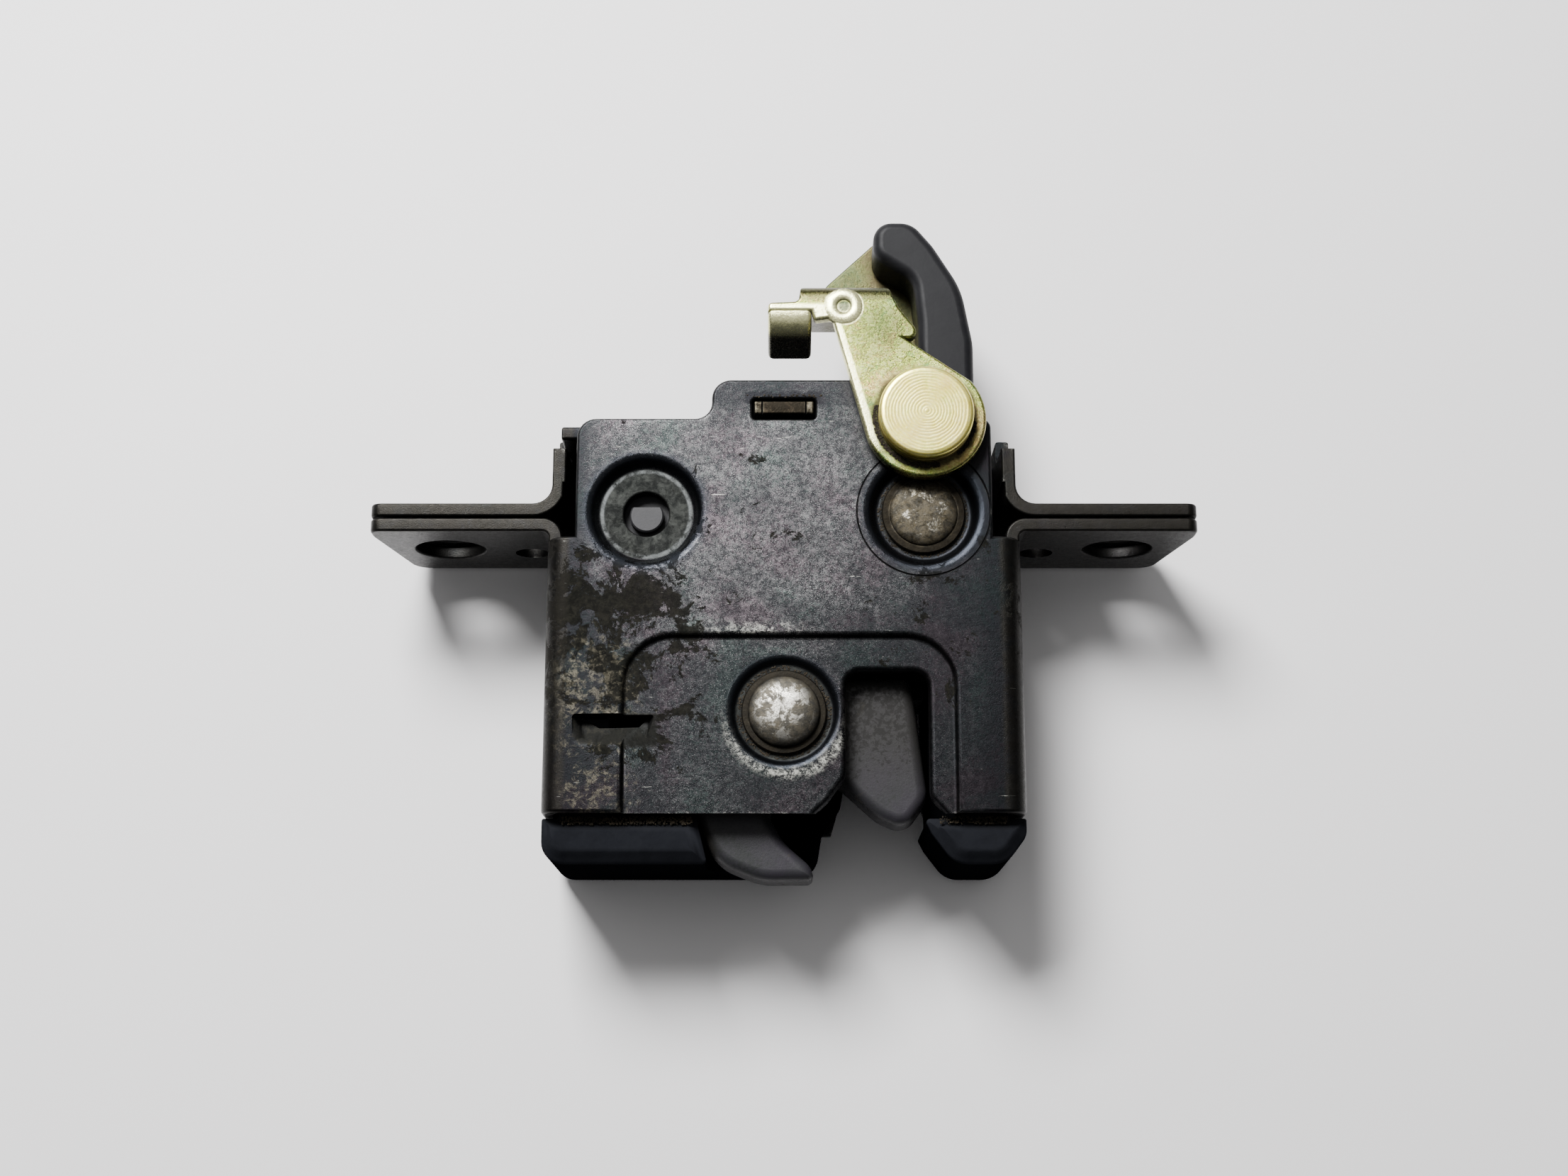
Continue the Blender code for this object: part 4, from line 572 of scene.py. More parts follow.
def black_zinc(looks):
    """Black passivated sheet: silvery grain, violet and green drift, grime on the left, worn ridges, painted
    sheen and shade.
    """
    made, tree, shader = new_material("worn black zinc", 0.95)
    place = object_place(tree)
    parts = node(tree, "ShaderNodeSeparateXYZ", {0: place}).outputs
    front = ramp(tree, parts["Z"], 0.0212, 0.0232)
    grain = effect(tree, "grain", Scale=5600.0, Contrast=1.1)
    cloud = ramp(tree, noise(tree, place, 130.0, 7.0, 0.72, 0.5), 0.36, 0.64)
    flake = ramp(tree, grain.outputs["Value"], 0.25, 0.95)
    dark = effect(tree, "hue", Base=tuple(looks.zinc_dark) + (1.0,), Warm=solid(0.0100, 0.0078, 0.0096),
                  Cool=solid(0.0060, 0.0088, 0.0090), Scale=90.0, Strength=0.7).outputs[0]
    pale = effect(tree, "hue", Base=tuple(looks.zinc_pale) + (1.0,), Warm=solid(0.106, 0.084, 0.094),
                  Cool=solid(0.072, 0.092, 0.084), Scale=90.0, Strength=0.75).outputs[0]
    # rubbed marks worn plating and also a painted sheen: bright over the upper middle of the face,
    # with painted shade towards its sides (outer) and its top (upper); sparkle paints glints where the sheen
    # is.
    side = maths(tree, "ABSOLUTE", parts["X"])
    outer = ramp(tree, side, 0.0235, 0.0268)
    upper = ramp(tree, parts["Y"], 0.0156, 0.0128)
    rubbed = either(tree, disc(tree, (-4.0, 4.0), 23.0, 9.0, 10.0),
                    maths(tree, "MULTIPLY", disc(tree, (-6.0, -27.0), 20.0, 10.0, 12.0), 0.30), 0.13)
    rubbed = both(tree, rubbed, front, level(tree, outer, 1.0, 0.18), level(tree, upper, 0.30, 1.0))
    share = both(tree, rubbed, maths(tree, "MULTIPLY_ADD", flake, 0.80, 0.09), level(tree, cloud, 0.42, 1.10))
    colour = blend(tree, share, dark, pale)
    sparkle = both(tree, ramp(tree, noise(tree, place, 9500.0, 2.0, 0.5), 0.60, 0.70), rubbed,
                   level(tree, cloud, 0.35, 1.0))
    colour = painted(tree, colour, sparkle, 0.70, solid(0.40, 0.395, 0.385))

    left = either(tree, disc(tree, (-22.5, -15.0), 14.0, 7.0, 6.0),
                  maths(tree, "MULTIPLY", disc(tree, (-19.0, -26.0), 11.0, 7.0, 6.0), 0.8))
    grime_zone = either(tree, left, maths(tree, "MULTIPLY", disc(tree, (22.0, -16.0), 13.0, 8.0, 6.0), 0.62),
                        maths(tree, "MULTIPLY", disc(tree, (-6.0, -3.5), 13.0, 8.0, 5.0), 0.50), 0.10)
    blotch = both(tree, patches(tree, 210.0, maths(tree, "MULTIPLY_ADD", grime_zone, 0.20, 0.31), 0.014),
                  front)
    film = blend(tree, patches(tree, 1100.0, 0.48, 0.12, 0.2), solid(0.0040, 0.0040, 0.0029),
                 solid(0.0125, 0.0120, 0.0088))
    colour = blend(tree, maths(tree, "MULTIPLY", blotch, 0.88), colour, film)
    sand_zone = either(tree, disc(tree, (-26.0, -24.0), 10.0, 7.0, 6.0),
                       disc(tree, (-23.5, -36.0), 6.0, 5.0, 4.0))
    sand = both(tree, patches(tree, 900.0, maths(tree, "MULTIPLY_ADD", sand_zone, 0.20, 0.27), 0.06, 0.7),
                maths(tree, "MULTIPLY_ADD", grain.outputs["Value"], 0.8, 0.1), front)
    colour = painted(tree, colour, sand, 0.75, solid(0.12, 0.108, 0.078))

    flanges = both(tree, ramp(tree, side, 0.0290, 0.0300),
                   level(tree, patches(tree, 240.0, 0.5, 0.2, 0.15), 0.5, 1.0))
    colour = painted(tree, colour, flanges, 0.75, solid(0.0190, 0.0178, 0.0160))
    arms = both(tree, ramp(tree, side, 0.0272, 0.0280), ramp(tree, parts["Z"], 0.0182, 0.0188),
                patches(tree, 380.0, 0.58, 0.12, 0.25))
    colour = painted(tree, colour, arms, 0.75, solid(0.0120, 0.0110, 0.0090))

    # Painted highlight on the lower slope of the fork seat, joined with real wear: the lip above the panel,
    # scratches, and worn edges that also carry a painted highlight.
    crescent_highlight = both(tree, ring(tree, (FORK_AT[0] + 0.4, FORK_AT[1] - 0.5), 6.9, 8.0, 0.7, 1.6),
                    ramp(tree, parts["Y"], -0.0235, -0.0295), front)
    lip = both(tree, ramp(tree, parts["Y"], -0.0161, -0.0156), ramp(tree, parts["Y"], -0.0139, -0.0152),
               ramp(tree, parts["X"], -0.012, -0.008), ramp(tree, parts["X"], 0.005, -0.002),
               patches(tree, 420.0, 0.50, 0.10, 0.3), ramp(tree, grain.outputs["Value"], 0.35, 0.9), front)
    marks = both(tree, effect(tree, "scratch", Scale=240.0, Amount=0.6).outputs[0], front)
    edge = effect(tree, "edge", Reach=0.0007)
    edge_wear_and_highlight = both(tree, edge.outputs["Edge"], patches(tree, 520.0, 0.45, 0.06, 0.9),
               ramp(tree, grain.outputs["Value"], 0.3, 0.7))
    bright = either(tree, both(tree, crescent_highlight, ramp(tree, grain.outputs["Value"], 0.25, 0.9)), lip, marks,
                    edge_wear_and_highlight)
    colour = painted(tree, colour, bright, 0.7, solid(0.40, 0.40, 0.36))

    # Darker ragged band on the face above the lug window: painted shade, with worn dark plating.
    shade_and_wear_band = both(tree, ramp(tree, parts["Y"], 0.0146, 0.0150), ramp(tree, parts["X"], -0.0056, -0.0046),
                ramp(tree, parts["X"], 0.0056, 0.0046), front,
                ramp(tree, maths(tree, "MULTIPLY_ADD", noise(tree, place, 900.0, 4.0, 0.6), 0.0022,
                                 parts["Y"]), 0.0178, 0.0174))
    colour = painted(tree, colour, shade_and_wear_band, 0.8, solid(0.0065, 0.0065, 0.008))
    # The sloping walls of the pressed seats are painted darker: painted shade, with a smoother finish.
    pressed = either(tree, ring(tree, PEG_AT, 5.9, 8.0, 0.9), ring(tree, PAWL_AT, 5.5, 8.0, 0.9),
                     ring(tree, FORK_AT, 6.0, 7.3, 0.6))
    pressed = both(tree, pressed, front)
    colour = painted(tree, colour, pressed, 0.85, solid(0.012, 0.014, 0.018))
    floors = both(tree, either(tree, disc(tree, PEG_AT, 6.05, 0.12), disc(tree, FORK_AT, 6.15, 0.15),
                               disc(tree, PAWL_AT, 5.7, 0.15)), front_of_seats(tree, parts["Z"]))
    seat_grit_and_highlight = blend(tree, patches(tree, 620.0, 0.46, 0.16, 0.4), solid(0.0085, 0.0095, 0.0088),
                   solid(0.055, 0.058, 0.053))
    # A thin light ring at the edge of the peg seat's floor is a painted highlight over the grit.
    rim = both(tree, ring(tree, PEG_AT, 5.5, 5.95, 0.15), patches(tree, 500.0, 0.5, 0.1, 0.8))
    seat_grit_and_highlight = blend(tree, rim, seat_grit_and_highlight, solid(0.16, 0.17, 0.17))
    colour = blend(tree, maths(tree, "MULTIPLY", floors, 0.9), colour, seat_grit_and_highlight)
    lug = both(tree, ramp(tree, parts["Z"], 0.0241, 0.0243), disc(tree, (0.0, 14.2), 4.6, 0.3))
    ends = ramp(tree, maths(tree, "ABSOLUTE", parts["X"]), 0.0025, 0.0029)
    bar = blend(tree, patches(tree, 700.0, 0.42, 0.1), solid(0.0060, 0.0048, 0.0030),
                solid(0.022, 0.017, 0.011))
    bar = blend(tree, both(tree, ends, patches(tree, 1200.0, 0.5, 0.1)), bar, solid(0.060, 0.053, 0.038))
    # The bore of the peg window below the seat floor is painted near black: painted shade inside the hole.
    bore = both(tree, disc(tree, PEG_AT, 3.35, 0.12), ramp(tree, parts["Z"], 0.0224, 0.0221))
    colour = blend(tree, bore, colour, solid(0.0016, 0.0016, 0.0016))
    colour = blend(tree, lug, colour, bar)
    dent = both(tree, ramp(tree, parts["X"], -0.0270, -0.0262), ramp(tree, parts["X"], -0.0157, -0.0164),
                ramp(tree, parts["Y"], -0.0307, -0.0300), ramp(tree, parts["Y"], -0.0258, -0.0263),
                ramp(tree, parts["Z"], 0.0240, 0.0236), front)
    colour = painted(tree, colour, dent, 0.85, solid(0.0050, 0.0050, 0.0036))
    # Hollows and gaps between parts are painted near black: painted shade, with the rough, duller finish of
    # dirt.
    hollow_shade_and_dirt = maths(tree, "MULTIPLY", edge.outputs["Hollow"], 0.85)
    colour = blend(tree, hollow_shade_and_dirt, colour, solid(0.008, 0.008, 0.008))

    rough = level(tree, grain.outputs["Value"], 0.30, 0.48)
    rough = level(tree, pressed, rough, 0.24)
    rough = level(tree, either(tree, blotch, hollow_shade_and_dirt, floors, dent), rough, 0.70)
    metal = level(tree, either(tree, hollow_shade_and_dirt, dent), 0.95, 0.8)
    height = maths(tree, "MULTIPLY_ADD", blotch, 0.25, grain.outputs["Height"])
    connect(tree, shader, colour, rough, height, 0.5, 0.00012, metal)
    return made


def front_of_seats(tree, height):
    """Mask of the seats' floors, which lie between the face and the sheet behind it."""
    return both(tree, ramp(tree, height, 0.0220, 0.0222), ramp(tree, height, 0.0229, 0.0226))


def gold_zinc(looks):
    """Yellow passivated lever sheet: gold, green and pink, painted pale where the light strikes the edges, and
    painted shade.
    """
    made, tree, shader = new_material("yellow zinc", 0.95)
    place = object_place(tree)
    parts = node(tree, "ShaderNodeSeparateXYZ", {0: place}).outputs
    grain = effect(tree, "grain", Scale=3400.0, Contrast=1.3)
    colour = effect(tree, "hue", Base=tuple(looks.gold) + (1.0,), Warm=solid(0.30, 0.21, 0.080),
                    Cool=solid(0.10, 0.20, 0.06), Scale=150.0, Strength=0.95).outputs[0]
    colour = painted(tree, colour, ramp(tree, grain.outputs["Value"], 0.3, 0.9), 0.40,
                     solid(0.62, 0.64, 0.26))
    edge = effect(tree, "edge", Reach=0.0009)
    colour = painted(tree, colour, edge.outputs["Edge"], 0.40, solid(0.86, 0.82, 0.36))
    streak = both(tree, patches(tree, 320.0, 0.48, 0.08, 0.2), patches(tree, 90.0, 0.55, 0.12, 0.5))
    colour = painted(tree, colour, streak, 0.6, solid(0.17, 0.135, 0.055))
    x, y = LEVER_AT
    front = ramp(tree, parts["Z"], 0.0240, 0.0248)

    def between(low, high):
        """Ramp along the lever's height, from millimetres above its pin."""
        return ramp(tree, parts["Y"], (y + low) * MM, (y + high) * MM)

    corner = ((x - 12.2) * MM, (y + 13.7) * MM)
    across = maths(tree, "ADD", maths(tree, "MULTIPLY", maths(tree, "SUBTRACT", parts["X"], corner[0]), 0.96),
                   maths(tree, "MULTIPLY", maths(tree, "SUBTRACT", parts["Y"], corner[1]), 0.28))
    left_edge = both(tree, ramp(tree, across, 0.00135, 0.00095), between(-5.0, -2.0), between(15.2, 14.2))
    hook_edge = both(tree, between(14.2, 14.5), between(15.9, 15.3),
                     ramp(tree, parts["X"], x * MM - 0.0085, x * MM - 0.0105))
    heap = ring(tree, (x - 10.4, y + 15.3), 1.0, 2.5, 0.25)
    # The dimple's centre is painted dark: painted shade in its dip, inside the lit ring round it.
    pit_shade = disc(tree, (x - 10.4, y + 15.3), 0.8, 0.3)
    shade = both(tree, either(tree, disc(tree, (x - 5.0, y + 13.0), 5.0, 5.0, 3.0),
                              maths(tree, "MULTIPLY", patches(tree, 140.0, 0.46, 0.14, 0.7), 0.6)), front)
    colour = painted(tree, colour, shade, 0.80, solid(0.038, 0.052, 0.018))
    # The bend along the top is painted darker: painted shade where the sheet turns away.
    bend_shade = both(tree, between(15.9, 16.6), front)
    colour = painted(tree, colour, bend_shade, 0.85, solid(0.052, 0.050, 0.020))
    lit = both(tree, either(tree, left_edge, hook_edge, heap), front)
    colour = painted(tree, colour, lit, 0.90, solid(0.97, 0.95, 0.52))
    colour = painted(tree, colour, both(tree, pit_shade, front), 0.9, solid(0.020, 0.032, 0.020))
    # The rear arm, deep under the horn and the front arm, is painted dark: painted shadow.
    rear_arm_shadow = ramp(tree, parts["Z"], 0.0200, 0.0180)
    colour = painted(tree, colour, rear_arm_shadow, 0.88, solid(0.022, 0.021, 0.012))
    # The turned-down flap is painted neutral grey: a painted reflection of the dark surroundings.
    flap = both(tree, ramp(tree, parts["Z"], 0.0256, 0.0244), ramp(tree, parts["X"], 0.0060, 0.0045))
    colour = painted(tree, colour, flap, 0.9, solid(0.130, 0.125, 0.112))
    # Hollows and gaps between parts are painted dark brown: painted shade and dirt; the patchy ring round the
    # pin is dirt.
    hollow_shade_and_dirt = either(tree, edge.outputs["Hollow"],
                    both(tree, ring(tree, LEVER_AT, 5.6, 6.9, 0.35, 1.6), patches(tree, 500.0, 0.66, 0.10)))
    hollow_shade_and_dirt = maths(tree, "MULTIPLY", hollow_shade_and_dirt, 0.85)
    colour = blend(tree, hollow_shade_and_dirt, colour, solid(0.030, 0.023, 0.010))
    rough = level(tree, hollow_shade_and_dirt, level(tree, grain.outputs["Value"], 0.14, 0.34), 0.75)
    metal = level(tree, hollow_shade_and_dirt, 0.95, 0.75)
    connect(tree, shader, colour, rough, grain.outputs["Height"], 0.55, 0.00014, metal)
    return made


def pin_zinc():
    """Turned pin head: pale gold with fine turning rings, and painted shade in bands on its side."""
    made, tree, shader = new_material("turned pin", 0.95)
    place = object_place(tree)
    flat = node(tree, "ShaderNodeVectorMath", {0: place, 1: (LEVER_AT[0] * MM, LEVER_AT[1] * MM, 0.0)},
                operation="SUBTRACT").outputs[0]
    flat = node(tree, "ShaderNodeVectorMath", {0: flat, 1: (1.0, 1.0, 0.0)}, operation="MULTIPLY").outputs[0]
    radius = node(tree, "ShaderNodeVectorMath", {0: flat}, operation="LENGTH").outputs["Value"]
    uneven = maths(tree, "MULTIPLY_ADD", noise(tree, place, 260.0, 5.0, 0.6), 0.0009, radius)
    waves = maths(tree, "SINE", maths(tree, "MULTIPLY", uneven, 15500.0))
    lines = maths(tree, "MULTIPLY_ADD", waves, 0.5, 0.5)
    colour = effect(tree, "hue", Base=solid(0.72, 0.62, 0.12), Warm=solid(0.62, 0.44, 0.12),
                    Cool=solid(0.54, 0.62, 0.11), Scale=260.0, Strength=0.7).outputs[0]
    grain = effect(tree, "grain", Scale=2600.0, Contrast=1.2)
    groove = maths(tree, "MULTIPLY", lines, level(tree, patches(tree, 330.0, 0.55, 0.15, 0.45), 0.25, 0.75))
    colour = blend(tree, groove, colour, solid(0.36, 0.28, 0.055))
    wear = maths(tree, "MULTIPLY", grain.outputs["Value"], level(tree, lines, 0.75, 0.15))
    colour = blend(tree, wear, colour, solid(1.0, 0.98, 0.44))
    marks = either(tree, effect(tree, "scratch", Scale=420.0, Amount=0.9).outputs[0],
                   patches(tree, 520.0, 0.36, 0.03, 0.6))
    colour = painted(tree, colour, marks, 0.55, solid(0.34, 0.25, 0.11))
    edge = effect(tree, "edge", Reach=0.0008)
    dirt = both(tree, edge.outputs["Hollow"], patches(tree, 500.0, 0.62, 0.12))
    colour = blend(tree, dirt, colour, solid(0.030, 0.022, 0.010))
    # The head's side is painted darker than its top, in bands: painted shade.
    height = node(tree, "ShaderNodeSeparateXYZ", {0: place}).outputs["Z"]
    side = ramp(tree, height, 0.0292, 0.0282)
    bands = maths(tree, "SINE", maths(tree, "MULTIPLY", height, 9500.0))
    bands = maths(tree, "MULTIPLY_ADD", bands, 0.5, 0.5)
    wall = blend(tree, bands, solid(0.020, 0.015, 0.007), solid(0.26, 0.21, 0.080))
    colour = blend(tree, maths(tree, "MULTIPLY", side, 0.85), colour, wall)
    rough = level(tree, dirt, level(tree, lines, 0.30, 0.42), 0.8)
    connect(tree, shader, colour, rough, maths(tree, "ADD", lines, grain.outputs["Height"]), 0.20, 0.00004)
    return made


def rivet_metal(name, clean, stain_amount, centre, face):
    """Riveted head: bare and bright on its crown, brown where it is stained."""
    made, tree, shader = new_material(name, 0.95)
    grain = effect(tree, "grain", Scale=3800.0, Contrast=1.2)
    stain = patches(tree, 420.0, stain_amount, 0.04, 0.35)
    rim = maths(tree, "SUBTRACT", 1.0, disc(tree, centre, face, 0.7, 2.4))
    collar = maths(tree, "SUBTRACT", 1.0, disc(tree, centre, 4.45, 0.2, 0.5))
    dirt = either(tree, stain, rim)
    tint = blend(tree, patches(tree, 900.0, 0.5, 0.1, 0.1), solid(0.0070, 0.0056, 0.0032),
                 solid(0.060, 0.049, 0.030))
    bare = painted(tree, clean, grain.outputs["Value"], 0.3, solid(0.92, 0.90, 0.86))
    colour = blend(tree, maths(tree, "MULTIPLY", dirt, 0.88), bare, tint)
    mark = both(tree, effect(tree, "scratch", Scale=260.0, Amount=0.8).outputs[0],
                disc(tree, centre, 3.4, 0.5))
    colour = painted(tree, colour, mark, 0.8, solid(0.62, 0.59, 0.48))
    colour = painted(tree, colour, collar, 0.88, solid(0.0065, 0.0052, 0.0034))
    rough = level(tree, either(tree, dirt, collar), level(tree, grain.outputs["Value"], 0.22, 0.36), 0.62)
    connect(tree, shader, colour, rough, grain.outputs["Height"], 0.6, 0.00015)
    return made


def moulded(name, colour, pale, roughness, grime=0.25, scale=2600.0, specular=0.25, shaded=20.6):
    """Moulded plastic with faint mottling, scuffs and dirt in its corners, and painted shade below a height."""
    made, tree, shader = new_material(name, 0.0, specular)
    grain = effect(tree, "grain", Scale=scale, Contrast=0.8)
    tone = painted(tree, solid(*colour), patches(tree, 160.0, 0.5, 0.18, 0.1), 0.5, solid(*pale))
    tone = painted(tree, tone, grain.outputs["Value"], 0.22, solid(*pale))
    scuff = effect(tree, "scratch", Scale=200.0, Amount=0.4).outputs[0]
    tone = painted(tree, tone, scuff, 0.35, solid(*[min(1.0, 2.2 * value + 0.05) for value in pale]))
    edge = effect(tree, "edge", Reach=0.0009)
    tone = painted(tree, tone, edge.outputs["Edge"], 0.35, solid(*[1.6 * value + 0.01 for value in pale]))
    dirt = either(tree, maths(tree, "MULTIPLY", edge.outputs["Hollow"], 0.6),
                  maths(tree, "MULTIPLY", patches(tree, 300.0, grime, 0.05, 0.6), 0.55))
    tone = blend(tree, dirt, tone, solid(*[0.6 * value + 0.006 for value in pale]))
    # Painted shade below the height shaded, on the faces that look down and away from the light.
    low = node(tree, "ShaderNodeSeparateXYZ", {0: object_place(tree)}).outputs["Z"]
    tone = blend(tree, ramp(tree, low, shaded * MM, (shaded - 0.6) * MM), tone,
                 solid(*[0.35 * value for value in colour]))
    rough = level(tree, dirt, level(tree, grain.outputs["Value"], roughness - 0.06, roughness + 0.06), 0.8)
    connect(tree, shader, tone, rough, grain.outputs["Height"], 0.25, 0.00008)
    return made


def coated_fork(looks):
    """Grey plastic coat: violet tint, dark speckle and dirt towards the case."""
    made, tree, shader = new_material("fork coat", 0.0, 0.22)
    grain = effect(tree, "grain", Scale=3600.0, Contrast=1.2)
    place = object_place(tree)
    parts = node(tree, "ShaderNodeSeparateXYZ", {0: place}).outputs
    colour = effect(tree, "hue", Base=tuple(looks.coat) + (1.0,), Warm=solid(0.0180, 0.0158, 0.0205),
                    Cool=solid(0.0118, 0.0130, 0.0126), Scale=170.0, Strength=0.8).outputs[0]
    dusty = ramp(tree, parts["Y"], -0.040, -0.026)
    fleck = patches(tree, 1500.0, maths(tree, "MULTIPLY_ADD", dusty, 0.16, 0.36), 0.05)
    colour = painted(tree, colour, dusty, 0.6, solid(0.0120, 0.0110, 0.0085))
    colour = painted(tree, colour, fleck, 0.55, solid(0.0060, 0.0056, 0.0045))
    smear = patches(tree, 330.0, 0.36, 0.05, 0.15)
    colour = painted(tree, colour, smear, 0.55, solid(0.024, 0.021, 0.016))
    edge = effect(tree, "edge", Reach=0.0010)
    colour = painted(tree, colour, edge.outputs["Hollow"], 0.6, solid(0.02, 0.018, 0.014))
    rough = level(tree, either(tree, fleck, smear), level(tree, grain.outputs["Value"], 0.38, 0.52), 0.75)
    connect(tree, shader, colour, rough, grain.outputs["Height"], 0.35, 0.00010)
    return made


def plain_metal(name, colour, roughness):
    """Inner steel: drawn or ground, with a film of oil and dust."""
    made, tree, shader = new_material(name, 0.95)
    grain = effect(tree, "grain", Scale=3200.0, Contrast=1.0)
    tone = painted(tree, solid(*colour), grain.outputs["Value"], 0.4,
                   solid(*[min(1.0, 1.5 * value) for value in colour]))
    film = patches(tree, 240.0, 0.40, 0.08, 0.25)
    tone = painted(tree, tone, film, 0.5, solid(0.09, 0.075, 0.05))
    rough = level(tree, film, level(tree, grain.outputs["Value"], roughness - 0.05, roughness + 0.08), 0.6)
    connect(tree, shader, tone, rough, grain.outputs["Height"], 0.2, 0.00006)
    return made


def grit():
    """Crumbs of dry dirt."""
    made, tree, shader = new_material("dry dirt", 0.0, 0.2)
    colour = blend(tree, patches(tree, 900.0, 0.5, 0.1), solid(0.0065, 0.0050, 0.0032),
                   solid(0.030, 0.023, 0.014))
    rough = level(tree, patches(tree, 1500.0, 0.5, 0.1), 0.8, 0.95)
    connect(tree, shader, colour, rough)
    return made


LOOKS = {}


def make_looks(looks):
    """Make every material once, from the finish settings."""
    if LOOKS:
        return
    make_groups()
    coat = tuple(looks.plastic)
    LOOKS.update(
        case=black_zinc(looks), gold=gold_zinc(looks), pin=pin_zinc(), fork=coated_fork(looks),
        fork_rivet=rivet_metal("bright rivet", solid(0.38, 0.365, 0.32), 0.52, FORK_AT, 3.5),
        pawl_rivet=rivet_metal("stained rivet", solid(0.10, 0.088, 0.054), 0.58, PAWL_AT, 3.2),
        guide=moulded("guide plastic", coat, (0.0130, 0.0138, 0.0165), 0.55, 0.30, specular=0.0),
        horn=moulded("horn plastic", (0.005, 0.005, 0.006), (0.0115, 0.0115, 0.0128), 0.48, 0.28,
                     specular=0.12),
        peg=moulded("peg plastic", (0.032, 0.032, 0.035), (0.080, 0.078, 0.083), 0.45, 0.40, shaded=22.2),
        spool=moulded("spool plastic", (0.50, 0.48, 0.42), (0.62, 0.60, 0.54), 0.5, 0.4),
        rubber=moulded("buffer rubber", (0.018, 0.018, 0.018), (0.035, 0.035, 0.035), 0.75, 0.4),
        spring=plain_metal("spring wire", (0.16, 0.16, 0.165), 0.30),
        steel=plain_metal("bare steel", (0.30, 0.30, 0.30), 0.34),
        dirt=grit())


# Case

def seat_profile(face, direction, floor=5.85):
    """Pressed pocket: flat floor, leaning wall and rolled mouth, from the face inwards."""
    steps = ((0.0, 1.50), (0.25, 1.45), (0.45, 1.28), (0.65, 1.0), (0.85, 0.65), (1.1, 0.34),
             (1.4, 0.14), (1.8, 0.03), (2.1, -0.01))
    points = [(floor + grow, face - direction * drop) for grow, drop in steps]
    points.append((floor + 2.1, face + direction * SHEET))
    return points if direction > 0 else points[::-1]


def panel_outline(bottom, grow=0.0):
    """Shallow panel pressed round the fork pivot, open at the case's lower edge."""
    left, right, top = -20.2 - grow, 21.6 + grow, -16.2 + grow
    return rounded([(left, bottom, 0.0), (right, bottom, 0.0), (right, top, 5.8), (left, top, 5.8)], 12)


def slot_outline():
    """Striker slot, open downwards, with a flared foot on both sides."""
    below = BOTTOM - 4.0
    return rounded([(1.5, below, 0.0), (24.0, below, 0.0), (20.2, BOTTOM, 0.9), (18.3, -36.6, 2.2),
                    (18.3, -20.6, 1.9), (7.8, -20.6, 1.9), (7.8, -34.0, 2.5), (5.5, -37.2, 1.4),
                    (3.9, BOTTOM, 0.9)], 8)


def flange_profile(direction, outer_radius, sheet_level, wall_end, wall_x):
    """Folded strip in (x, y): the flange at one level, its bend, and the wall beyond it."""
    inner_x = wall_x - SHEET
    far = 55.6
    centre = (inner_x + outer_radius, sheet_level + direction * outer_radius)
    start = -90.0 * direction
    outer = arc(centre, outer_radius, start, start - 90.0 * direction, 10)
    inner = arc(centre, outer_radius - SHEET, start - 90.0 * direction, start, 8)
    wall = [(inner_x, wall_end), (wall_x, wall_end)]
    return [(far, sheet_level)] + outer + wall + inner + [(far, sheet_level + direction * SHEET)]


def flange(direction, radius, sheet_level, wall_end, wall_x, hole_radius, sign):
    """One folded flange with its wall, trimmed, drilled and with its edges rounded."""
    profile = flange_profile(direction, radius, sheet_level, wall_end, wall_x)
    plate = rounded([(28.7, 2.0, 0.0), (50.6, 2.0, 2.8), (53.8, 18.4, 2.8), (53.8, 21.6, 1.4),
                     (28.7, 21.6, 0.0)], 6)
    bolt = arc((44.5, 12.0), hole_radius, 0.0, 351.0, 39)
    peg = arc((33.8, 10.3), 2.3, 0.0, 345.0, 23)
    if sign < 0:
        profile, plate, bolt, peg = mirrored(profile), mirrored(plate), mirrored(bolt), mirrored(peg)
    strip = slab("Flange", profile, 2.0, 21.6)
    combine(strip, [slab("Plate", plate, -9.0, 9.0, axis="Y")], "INTERSECT")
    level_low = min(sheet_level, sheet_level + direction * SHEET) - 0.4
    level_high = level_low + SHEET + 0.8
    cut(strip, slab("Bolt hole", bolt, level_low, level_high, axis="Y"))
    return cut(soften(strip, 0.32, 3), slab("Peg hole", peg, level_low - 1.0, level_high + 1.0, axis="Y"))


